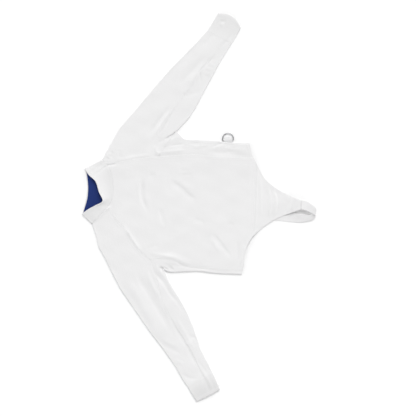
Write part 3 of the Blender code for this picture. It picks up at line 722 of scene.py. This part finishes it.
def underarm(name, seam, edge, out_side, armpit_out, under):
    """One side piece with evenly spaced rows, closer together at the armpit and the hem."""
    long = lengths_of(edge)[-1]
    share = spread(long, 80)[0] / long
    edge = at(edge, share)
    out = outward(edge, out_side)
    out[0] = unit(armpit_out)
    out[1:ARMPIT_ROWS] = [unit(out[0] + k / ARMPIT_ROWS * (out[ARMPIT_ROWS] - out[0]))
                          for k in range(1, ARMPIT_ROWS)]
    middle, edges = wrapped(at(seam, share), edge, out, at(under, share), 8, 4)
    return cloth_piece(f"{name}_piece", middle, edges, white_cloth, name,
                       [("end", *TWIN)], blunt=["start", "first"])


underarm("side_right", right_side_seam, right_side_edge, -1, RIGHT_ARMPIT_OUT,
         right_side_under)
left_side_seam[0] = onto(left_side_seam[0], left_seam[ARMPIT], left_inner[0])
underarm("side_left", left_side_seam, left_side_edge, 1, LEFT_ARMPIT_OUT,
         left_side_under)

# ---- Sleeves ----
# Raglan sleeves in two pieces each: the upper one runs from the collar over the shoulder and
# the elbow and turns under along the outer edge, the lower one does so along the inner edge.
# Both end at the seam of a doubled cuff, whose open end is turned in and stitched.
DOUBLE = 0.0022         # wall of the cuff
CUFF_ROWS = (0.002, 0.012)      # its two rows of stitches, from the open end


def sleeve(side, seam, outer, under, inner, cuff, out_side, neck_out, armpit_out, bulge, blunt,
           cuff_cloth):
    """Upper and lower piece and cuff of one sleeve."""
    last = len(outer) - 1
    step = np.linalg.norm(np.diff(outer, axis=0), axis=1).mean()
    seam, under = seam.copy(), under.copy()
    out, inner_out = outward(outer, out_side), outward(inner, -out_side)
    out[0], inner_out[0] = unit(neck_out), unit(armpit_out)
    ends = (outer[-1] - out[-1] * EDGE, inner[-1] - inner_out[-1] * EDGE)
    for line in (seam, under):
        shift = onto(line[-1], *ends) - line[-1]
        line[-STEPS:] += np.linspace(1 / STEPS, 1, STEPS)[:, None] * shift

    def rows_of(lines, count):
        """The lines at the rows of the mesh; the third is one of unit vectors."""
        places = spread(step * (len(lines[0]) - 1), count)[0] / step
        points = [np.stack([np.interp(places, np.arange(len(line)), axis) for axis in line.T],
                           axis=-1) for line in lines]
        points[2] /= np.linalg.norm(points[2], axis=1)[:, None]
        return points

    seam_rows, outer_rows, out_rows, under_rows = rows_of((seam, outer, out, under), 160)
    middle, edges = wrapped(seam_rows, outer_rows, out_rows, under_rows, 34, 12)
    cloth_piece(f"sleeve_{side}_upper_piece", middle, edges, white_cloth,
                f"sleeve_{side}_upper",
                [("first", *TWIN)], "sleeves", blunt=["end", *blunt])
    seam_rows, inner_rows, out_rows, under_rows = rows_of(
        (seam[ARMPIT:], inner, inner_out, under[ARMPIT:]), 104)
    middle, edges = wrapped(seam_rows, inner_rows, out_rows, under_rows, 20, 20)
    cloth_piece(f"sleeve_{side}_under_piece", middle, edges, white_cloth,
                f"sleeve_{side}_under", [], "sleeves",
                blunt=["start", "end", *blunt])

    share = spread(np.linalg.norm(cuff[0] - outer[-1]), 14)[0]
    long = share[-1]
    share = share / long
    near = outer[-1] + share[:, None] * (cuff[0] - outer[-1])
    far = inner[-1] + share[:, None] * (cuff[1] - inner[-1])
    outer_turn = roll(near, np.tile(out[-1], (len(near), 1)))
    inner_turn = roll(far, np.tile(inner_out[-1], (len(far), 1)))
    across = np.linspace(0.0, 1.0, 32)[None, 1:-1, None]
    bow = bulge * share[:, None, None] * (4 * across * (1 - across)) * unit(cuff[0] - outer[-1])
    start, end = outer_turn[:, :1, :2], inner_turn[:, :1, :2]
    top = start + across * (end - start) + bow
    start, end = inner_turn[:, -1:, :2], outer_turn[:, -1:, :2]
    bottom = start + across * (end - start) + bow
    middle = np.hstack([outer_turn[:, ::-1], np.dstack([top, lie(top)]), inner_turn,
                        np.dstack([bottom, np.full(bottom.shape[:2], BED)])])
    middle[..., 2] = np.maximum(middle[..., 2], DOUBLE / 2)
    down = np.broadcast_to((share * long)[:, None], middle.shape[:2])
    edges = {"start": down, "end": long - down}
    cloth_piece(f"cuff_{side}_band", middle, edges, cuff_cloth, f"cuff_{side}",
                [("end", *CUFF_ROWS)], "sleeves", wall=DOUBLE, ring=True,
                blunt=["start"])


right_cuff_cloth = twill("right_cuff_cloth", (0.676, 0.675, 0.676), (0.785, 0.783, 0.785), 0.86,
                         0.12, fade=0.045)
left_cuff_cloth = twill("left_cuff_cloth", (0.726, 0.725, 0.726), (0.802, 0.800, 0.802), 0.86,
                        0.12, fade=0.045)
sleeve("right", right_seam, right_outer, right_under, right_inner, right_cuff_end, -1,
       RIGHT_NECK_OUT, RIGHT_ARMPIT_OUT, 0.002, [], right_cuff_cloth)
sleeve("left", left_seam, left_outer, left_under, left_inner, left_cuff_end, 1,
       LEFT_NECK_OUT, LEFT_ARMPIT_OUT, 0.018, ["first"], left_cuff_cloth)

# ---- Collar ----
# A stiff doubled band round the neck, folded flat at both sides, which stands up at the front
# and lies on the surface at the back. Its ends meet at the closure.
COLLAR_WALL = 0.0024
COLLAR_RISE = 0.016     # how far its front stands up, over its height where it lies flat
COLLAR_SWELL = 0.8      # exponents of the rise along the collar, and from its seam to its top
COLLAR_LEAN = 1.8
COLLAR_BUCKLE = 0.0005  # depth of its buckles, and how many half waves they make round it
COLLAR_BUCKLES = 9
CLEAR = 4               # points left out of the top edges beside the rolls at their ends
collar_top_front = through([(-456, 155), (-440, 129), (-412, 102), (-398, 60), (-384, 25),
                            (-416, 6), (-444, -9), (-468, -27)])
collar_top_back = through([(-468, -27), (-458, 8), (-450, 45), (-448, 92), (-456, 155)])
turns = [roll(corner[None], unit(out)[None])[0] for corner, out in (
    (right_outer[0], RIGHT_NECK_OUT), (collar_top_front[-1], (-0.67, -0.74)),
    (left_outer[0], LEFT_NECK_OUT), (collar_top_front[0], (-0.45, 0.89)))]
right_seam_turn, right_top_turn, left_seam_turn, left_top_turn = turns
STUB, JOIN = 0.10, 0.75     # shares of the front's top edge above the closure and the neck's end


def collar_front(line, low, high, count, start=False, end=False):
    """Seam and top edge of a stretch of the front, between two shares of the top edge.
    start and end say where the band is cut."""
    long = lengths_of(line)[-1]
    share = spread(long, count, start, end)[0] / long
    seam = at(line, share)
    along = low + share * (high - low)
    top = at(np.vstack([left_top_turn[0, :2], collar_top_front[CLEAR:-CLEAR],
                        right_top_turn[0, :2]]), along)
    stand = BED + 2 * ROLL + COLLAR_RISE * np.sin(pi * along) ** COLLAR_SWELL
    return (np.column_stack([seam, lie(seam) + flap_lift(seam)]),
            np.column_stack([top, stand]))


stub = collar_front(np.array([left_seam_turn[0, :2], neck_front[0]]), 0.0, STUB, 6, end=True)
neck = collar_front(neck_front, STUB, JOIN, 90, start=True)
join = collar_front(np.array([right_seam[0], right_seam_turn[0, :2]]), JOIN, 1.0, 26)
share = np.linspace(0.0, 1.0, 76)
back_seam = at(np.vstack([right_seam_turn[-1, :2], neck_back[::-1], left_seam_turn[-1, :2]]),
               share)
back_top = at(np.vstack([right_top_turn[-1, :2], collar_top_back[CLEAR:-CLEAR],
                         left_top_turn[-1, :2]]), share)
level = np.full((len(share), 1), BED)
low = np.vstack([neck[0], join[0][1:-1], right_seam_turn, np.hstack([back_seam, level])[1:-1],
                 left_seam_turn[::-1], stub[0][1:]])
high = np.vstack([neck[1], join[1][1:-1], right_top_turn, np.hstack([back_top, level])[1:-1],
                  left_top_turn[::-1], stub[1][1:]])
tall = np.linalg.norm(high - low, axis=1)
up = spread(tall, 14)
lean = up / tall[:, None]
middle = low[:, None] + lean[..., None] * (high - low)[:, None]
middle[..., 2] = low[:, None, 2] + (high - low)[:, None, 2] * lean ** COLLAR_LEAN
# The stiffened band still buckles a little between its seam and its top.
buckle = np.sin(pi * lean) * np.sin(np.linspace(0.0, COLLAR_BUCKLES * pi, len(low)))[:, None]
standing = smooth((middle[..., 2] - 2 * ROLL - BED) / 0.003)
middle[..., 2] += COLLAR_BUCKLE * buckle * standing
middle[..., 2] = np.maximum(middle[..., 2], COLLAR_WALL / 2)
edges = edges_of(np.broadcast_to(lengths_of(low)[:, None], up.shape), up)
# Painted shade: the collar's cloth is a darker copy of the white twill, standing in for the shade
# on its standing front, which faces away from the main light.
collar_cloth_painted_shade = twill("collar_cloth_painted_shade", (0.720, 0.718, 0.720), (0.772, 0.770, 0.772), 0.86, 0.12)
cloth_piece("collar_band", middle, edges, collar_cloth_painted_shade, "collar",
                     [("first", 0.002), ("last", *TWIN)], "collar", wall=COLLAR_WALL,
                     blunt=["start", "end"])

# The blue lining lies on the inner face of the collar all the way round, turned in and sewn
# just short of the collar's edges.
LINING = 0.0007
LINING_GAP = 0.00005    # between the lining and the collar
LINING_ENDS = 6         # rows of the collar's mesh that it leaves free at each end
LINING_START, LINING_SPAN = 0.05, 0.88      # shares of the collar's height
lining_cloth = twill("blue_lining", (0.007, 0.022, 0.124), (0.013, 0.036, 0.188), 0.74, 0.05,
                     rib=0.0006, crumple=0.00030)
normals = turned_normals(middle)
tuck = LINING_START + LINING_SPAN * np.linspace(0.0, 1.0, 26)
inner = np.empty((len(middle), len(tuck), 3))
for k, row in enumerate(middle - normals * (COLLAR_WALL / 2 + LINING / 2 + LINING_GAP)):
    for axis in range(3):
        inner[k, :, axis] = np.interp(tuck, lean[k], row[:, axis])
inner = inner[LINING_ENDS:-LINING_ENDS]
up = tall[LINING_ENDS:-LINING_ENDS, None] * (tuck - tuck[0])
edges = edges_of(np.broadcast_to(lengths_of(inner[:, 0])[:, None], up.shape), up)
cloth_piece("collar_inside", inner, edges, lining_cloth, "collar_lining",
                     [], wall=LINING)

# ---- Crotch point ----
# The V of cloth that passes between the legs, sewn to the front's lower edge. Its long sides
# are turned in and held by twin rows, and its tip takes the end of the elastic strap.
point_left = through([(223, 187), (265, 112), (330, 62), (406, 28)], 12)
point_right = through([(214, -118), (249, -86), (292, -56), (327, -38), (364, -24), (406, -8)],
                      12)
plan, edges = patch(point_seam, np.array([point_left[-1], point_right[-1]]), point_left,
                    point_right, 50, 60)
cloth_piece("crotch_point_cloth", on_top(plan), edges, white_cloth,
                           "crotch_point",
                           [("start", 0.002), ("first", *TWIN), ("last", *TWIN),
                            ("end", 0.002)], blunt=["start"])

# ---- Crotch strap ----
# Woven elastic, 36 mm wide, sewn into the tip of the point. It turns back in an open loop and
# runs under the point to the hem of the back. Rubber cords make ribs along it.
STRAP_WALL = 0.0020
RIBS = 17
STRAP_RIB = 0.00022     # how far the wall sinks between two cords
LIFT = 0.0002           # how far the stitches that hold it stand off the cloth
elastic, tree, shader = new_finish("white_elastic", 0.78, 0.08)
across, down = cut_place(tree)
weave = (across * (2 * pi / 0.0011)).sine() * (down * (2 * pi / 0.0009)).sine()
emboss(tree, shader, weave * 0.00006 + noise(tree, object_place(tree), 120.0, 2.0) * 0.0001)
paint(tree, shader, (weave * 0.35 + noise(tree, object_place(tree), 40.0, 2.0) * 0.6 + 0.2)
      .limited(), (0.755, 0.752, 0.755), (0.835, 0.832, 0.835))
strap = through([
    # left x, left y, left z, right x, right y, right z
    (406.2, 28, 14.2, 406.2, -8, 15.8),
    (429, 23.5, 18, 427, -13, 17.5),
    (448, 12, 20.5, 443, -19.5, 18.5),
    (460, 3, 22, 456, -27, 18),
    (467.7, -8, 20, 464, -37, 12),
    (463, -21, 15, 456, -48, 5),
    (449, -30, 12, 441, -55.5, 2.2),
    (430, -30, 10.5, 420, -60, 1.3),
    (400, -26, 8, 398, -61, 1.1),
    (382, -24.5, 4.6, 381, -59.5, 1.1),
    (364, -23, 1.8, 364, -58, 1.1),
    (306, -17, 1.1, 306, -52, 1.1),
    (250, -14, 1.1, 250, -49, 1.1),
    (190, -12, 1.1, 190, -47, 1.1),
], 14)
for axis in (0, 3):
    strap[-1, axis] = np.interp(strap[-1, axis + 1],
                                [right_side_under[-1, 1], left_side_under[-1, 1]],
                                [right_side_under[-1, 0], left_side_under[-1, 0]])
share = np.linspace(0.0, 1.0, 4 * RIBS + 1)
middle = strap[:, None, :3] + share[:, None] * (strap[:, None, 3:] - strap[:, None, :3])
wide = np.linalg.norm(strap[:, 3:] - strap[:, :3], axis=1)
down = np.broadcast_to(lengths_of(strap[:, :3])[:, None], middle.shape[:2])
edges = edges_of(down, wide[:, None] * share)
rib_height = STRAP_RIB * (np.abs(np.sin(pi * RIBS * share)) - 1)
cloth_piece("crotch_strap_elastic", middle, edges, elastic, "crotch_strap",
                           wall=STRAP_WALL, swell=rib_height)
# A box of stitches with a cross holds the strap inside the tip of the point.
corners = [(395, 20), (395, -1), (370, -8), (370, 29)]
for k, corner in enumerate(corners):
    seam_on_top("strap", [corner, corners[(k + 1) % 4]], LIFT)
for corner, other in (((395, 20), (370, -8)), ((395, -1), (370, 29))):
    seam_on_top("strap", [corner, other], LIFT)

# ---- Ring tab ----
# Narrow webbing that comes out of the side edge, goes round the bar of the ring and back into
# the edge. It is woven in a fine herringbone with firm selvedges.
WEB_WALL = 0.0014
WEB_WIDTH = 0.034
WEB_PLAY = 0.0005       # clearance of the wire in its loop
WEB_ROOT = 0.0012       # how far inside the edge its two legs start
WEB_MOUTH = 0.0008      # just outside it
WEB_NECK = 0.0030       # how far out of the edge they part
WEB_LEVEL = 0.0050      # level stretch of the two legs beyond the bar
WEB_SLACK = 0.0100      # how far the loop goes on past the bar, inside the D
WEB_FOLD = 0.0029       # radius of the middle of the webbing where it turns
WIRE = 0.0021           # radius of the ring's wire
bar = np.array((0.116, 0.269, 0.0043))      # middle of the ring's straight bar
webbing, tree, shader = new_finish("white_webbing", 0.72, 0.06)
across, down = cut_place(tree)
zigzag = Wire(tree, add_node(tree, "ShaderNodeMath", {"operation": "PINGPONG"},
                             {0: across, 1: 0.004}).outputs[0])
herringbone = ((down + zigzag) * (2 * pi / 0.0012)).sine()
emboss(tree, shader, herringbone * 0.00008)
paint(tree, shader, (herringbone * 0.3 + 0.5).limited(), (0.73, 0.73, 0.735), (0.81, 0.81, 0.815))
turn = WIRE + WEB_PLAY + WEB_WALL / 2
share = np.array([0, 0.004, 0.014, 0.03, *np.linspace(0.07, 0.93, 24), 0.97, 0.986, 0.996, 1])
edge_height = BED + ROLL
lines = []
for x in bar[0] + (share - 0.5) * WEB_WIDTH:
    root = np.interp(x, left_side_edge[:, 0], left_side_edge[:, 1])
    fold = bar[1] + WEB_SLACK
    low = bar[2] - turn
    # The lower leg, the fold beyond the bar, and the upper leg back to the edge.
    path = [(root - WEB_ROOT, edge_height - 0.0006), (root + WEB_MOUTH, edge_height - 0.0009),
            (root + WEB_NECK, edge_height - 0.0016), (bar[1], low), (bar[1] + WEB_LEVEL, low),
            (fold, low + 0.0001)]
    path += [(fold + out * WEB_FOLD, low + up * WEB_FOLD)
             for out, up in ((0.71, 0.29), (1, 1), (0.71, 1.71), (0, 2))]
    path += [(bar[1] + WEB_LEVEL, bar[2] + turn - 0.0003), (bar[1], bar[2] + turn),
             (root + WEB_NECK, edge_height + 0.0026), (root + WEB_MOUTH, edge_height + 0.0012),
             (root - WEB_ROOT, edge_height + 0.0008)]
    lines.append(through([(x / MM, y / MM, z / MM) for y, z in path], 6))
middle = np.array([at(line, np.linspace(0.0, 1.0, 60)) for line in lines])
down = np.broadcast_to((share * WEB_WIDTH)[:, None], middle.shape[:2])
cloth_piece("ring_tab_webbing", middle, edges_of(down, lengths_of(middle, 1)), webbing, "ring_tab",
                       wall=WEB_WALL)

# ---- Ring ----
# A steel wire D, bent and butt-welded on its straight bar. It swings in the webbing and rests
# with its round on the surface.
RING_RADIUS = 0.0219    # middle of the wire in the round of the D
RING_LEG = 0.0050       # straight legs between the bar and the round
RING_CORNER = 0.0030    # bends between the bar and the legs
WIRE_SIDES = 24
steel, tree, shader = new_finish("steel", 0.26, metallic=1.0)
place = object_place(tree)
stained = noise(tree, place, 180.0, 3.0)
scratched = noise(tree, place, 1400.0, 2.0)
paint(tree, shader, stained, (0.40, 0.40, 0.41), (0.56, 0.565, 0.575))
tree.links.new((stained * 0.22 + scratched * 0.08 + 0.14).socket, shader.inputs["Roughness"])
emboss(tree, shader, scratched * 0.00002)
half, corner = RING_RADIUS, RING_CORNER
line = [(x, 0.0) for x in np.linspace(-half + corner, half - corner, 26)]
bend = np.linspace(-pi / 2, 0.0, 9)[1:]
line += [(half - corner + corner * np.cos(a), corner + corner * np.sin(a)) for a in bend]
line += [(half * np.cos(a), RING_LEG + half * np.sin(a)) for a in np.linspace(0.0, pi, 73)]
bend = np.linspace(pi, 1.5 * pi, 9)[:-1]
line += [(-half + corner + corner * np.cos(a), corner + corner * np.sin(a)) for a in bend]
line = np.array(line)
tilt = -np.arcsin((bar[2] - WIRE - 0.0001) / (RING_LEG + RING_RADIUS))
line = bar + np.column_stack([line[:, 0], line[:, 1] * np.cos(tilt), line[:, 1] * np.sin(tilt)])
tangent = np.roll(line, -1, axis=0) - np.roll(line, 1, axis=0)
tangent /= np.linalg.norm(tangent, axis=1)[:, None]
face = np.array((0.0, -np.sin(tilt), np.cos(tilt)))     # way out of the ring's plane
side = np.cross(tangent, face)
weld = 1 + 0.07 * np.exp(-((line[:, 0] - bar[0]) / 0.0011) ** 2) * (
    np.abs(line[:, 1] - bar[1]) < 0.001)
angle = np.arange(WIRE_SIDES) * 2 * pi / WIRE_SIDES
points = (line[:, None] + (WIRE * weld)[:, None, None] * (
    np.cos(angle)[:, None] * side[:, None] + np.sin(angle)[:, None] * face))
index = np.arange(points.shape[0] * WIRE_SIDES).reshape(-1, WIRE_SIDES)
beyond = np.roll(index, -1, axis=0)
quads = np.stack([index, np.roll(index, -1, axis=1), np.roll(beyond, -1, axis=1), beyond],
                 axis=-1).reshape(-1, 4)
ring = mesh_piece("steel_ring", points.reshape(-1, 3).tolist(), quads.tolist(), steel, "ring")
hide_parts("d_ring")

# ---- Stitching ----
# White polyester thread in lockstitch, about three stitches to the centimetre, along the rows
# that the pieces took while they were made.
PITCH = 0.0034          # from one stitch to the next
STITCH = 0.0026         # length of thread that shows
THREAD = 0.00060        # its thickness
STITCH_SIDES = 6
thread, tree, shader = new_finish("white_thread", 0.5, 0.1)
twist = noise(tree, object_place(tree), 1200.0, 1.0)
paint(tree, shader, twist, (0.78, 0.78, 0.79), (0.86, 0.86, 0.87))
emboss(tree, shader, twist * 0.00005)


def sewing_tree():
    """Node tree that lays a stitch at each pitch along the edges of its mesh."""
    tree = bpy.data.node_groups.new("sewing", "GeometryNodeTree")
    inputs = {}
    tree.interface.new_socket("Geometry", in_out="INPUT", socket_type="NodeSocketGeometry")
    for name in ("Pitch", "Stitch length", "Thread width"):
        inputs[name] = tree.interface.new_socket(name, in_out="INPUT",
                                                 socket_type="NodeSocketFloat").identifier
    inputs["Thread"] = tree.interface.new_socket("Thread", in_out="INPUT",
                                                 socket_type="NodeSocketMaterial").identifier
    tree.interface.new_socket("Geometry", in_out="OUTPUT", socket_type="NodeSocketGeometry")
    given = tree.nodes.new("NodeGroupInput")

    def wire(name):
        return Wire(tree, given.outputs[name])

    curve = add_node(tree, "GeometryNodeMeshToCurve", {}, {"Mesh": wire("Geometry")})
    # The resampling keeps the pitch along every row.
    marks = add_node(tree, "GeometryNodeResampleCurve", {"mode": "LENGTH"},
                     {"Curve": curve, "Length": wire("Pitch")})
    tangent = add_node(tree, "GeometryNodeInputTangent", {}, {})
    out = add_node(tree, "GeometryNodeInputNamedAttribute", {"data_type": "FLOAT_VECTOR"},
                   {"Name": "out"})
    along = add_node(tree, "FunctionNodeAlignRotationToVector", {"axis": "X"},
                     {"Vector": tangent})
    up = add_node(tree, "FunctionNodeAlignRotationToVector", {"axis": "Z", "pivot_axis": "X"},
                  {"Rotation": along, "Vector": out})
    bead = add_node(tree, "GeometryNodeMeshUVSphere", {},
                    {"Segments": STITCH_SIDES, "Rings": 4, "Radius": 0.5})
    size = add_node(tree, "ShaderNodeCombineXYZ", {},
                    {"X": wire("Stitch length"), "Y": wire("Thread width"),
                     "Z": wire("Thread width")})
    laid = add_node(tree, "GeometryNodeInstanceOnPoints", {},
                    {"Points": marks, "Instance": bead, "Rotation": up, "Scale": size})
    whole = add_node(tree, "GeometryNodeRealizeInstances", {}, {"Geometry": laid})
    round_faces = add_node(tree, "GeometryNodeSetShadeSmooth", {}, {"Geometry": whole})
    dyed = add_node(tree, "GeometryNodeSetMaterial", {},
                    {"Geometry": round_faces, "Material": wire("Thread")})
    done = tree.nodes.new("NodeGroupOutput")
    tree.links.new(dyed.outputs[0], done.inputs[0])
    return tree, inputs


sewing, sewing_inputs = sewing_tree()
for name, rows in stitch_rows.items():
    points = np.vstack([line for line, ups in rows])
    starts = np.cumsum([0] + [len(line) for line, ups in rows])
    joins = [(k, k + 1) for start, end in zip(starts[:-1], starts[1:])
             for k in range(start, end - 1)]
    guide = bpy.data.meshes.new("guide")
    guide.from_pydata(points.tolist(), joins, [])
    guide.attributes.new("out", "FLOAT_VECTOR", "POINT").data.foreach_set(
        "vector", np.vstack([ups for line, ups in rows]).ravel())
    guide_object = placed("guide", guide)
    sew = guide_object.modifiers.new("Sewing", "NODES")
    sew.node_group = sewing
    for socket, value in (("Pitch", PITCH), ("Stitch length", STITCH), ("Thread width", THREAD),
                          ("Thread", thread)):
        sew[sewing_inputs[socket]] = value
    graph = bpy.context.evaluated_depsgraph_get()
    mesh = bpy.data.meshes.new_from_object(guide_object.evaluated_get(graph))
    bpy.data.objects.remove(guide_object)
    stitches = placed(f"stitches_{name}", mesh)
    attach(stitches, "jacket")

# ---- Studio ----
# A plain white floor under a large soft dome of light, brighter low down all round than
# overhead, with a soft main light from one side.
floor_paint, tree, shader = new_finish("floor_paint", 0.9)
soft = noise(tree, object_place(tree), 3.0, 1.0)
paint(tree, shader, soft, (0.94, 0.94, 0.94), (0.955, 0.955, 0.955))
FLOOR = 80.0            # half its width
FLOOR_DROP = 0.0002     # how far it lies below the underside of the cloth
TO_LIGHT = (0.17, 0.76, 0.8)
mesh = bpy.data.meshes.new("floor")
mesh.from_pydata([(x * FLOOR, y * FLOOR, -FLOOR_DROP)
                  for x, y in ((-1, -1), (1, -1), (1, 1), (-1, 1))], [], [(0, 1, 2, 3)])
mesh.materials.append(floor_paint)
floor = placed("floor", mesh)

dome = bpy.data.worlds.new("dome")
dome.use_nodes = True
tree = dome.node_tree
sky = tree.nodes["Background"]
sky.inputs["Color"].default_value = (1.0, 1.0, 1.0, 1.0)
way = add_node(tree, "ShaderNodeTexCoord", {}, {}).outputs["Generated"]
upward = add_node(tree, "ShaderNodeSeparateXYZ", {}, {0: Wire(tree, way)}).outputs[2]
low_down = (1 - Wire(tree, upward)).limited()
tree.links.new((low_down * low_down * 1.8 + 0.40).socket, sky.inputs["Strength"])
bpy.context.scene.world = dome
lamp = bpy.data.lights.new("main_light", "SUN")
lamp.energy = 1.75
lamp.angle = radians(32)
main_light = placed("main_light", lamp)
main_light.rotation_euler = Vector(TO_LIGHT).to_track_quat("Z", "Y").to_euler()

VIEW_WIDTH = 1.664
VIEW_CENTRE = (0.036, -0.003)
HEIGHT = 4.0            # of the camera over the floor
SENSOR = 36.0           # width of its film, in millimetres
lens = bpy.data.cameras.new("camera")
lens.sensor_width = SENSOR
lens.lens = SENSOR * HEIGHT / VIEW_WIDTH
lens.clip_end = 400.0
camera = placed("camera", lens)
camera.location = (*VIEW_CENTRE, HEIGHT)
bpy.context.scene.camera = camera
bpy.context.scene.view_settings.view_transform = "Standard"
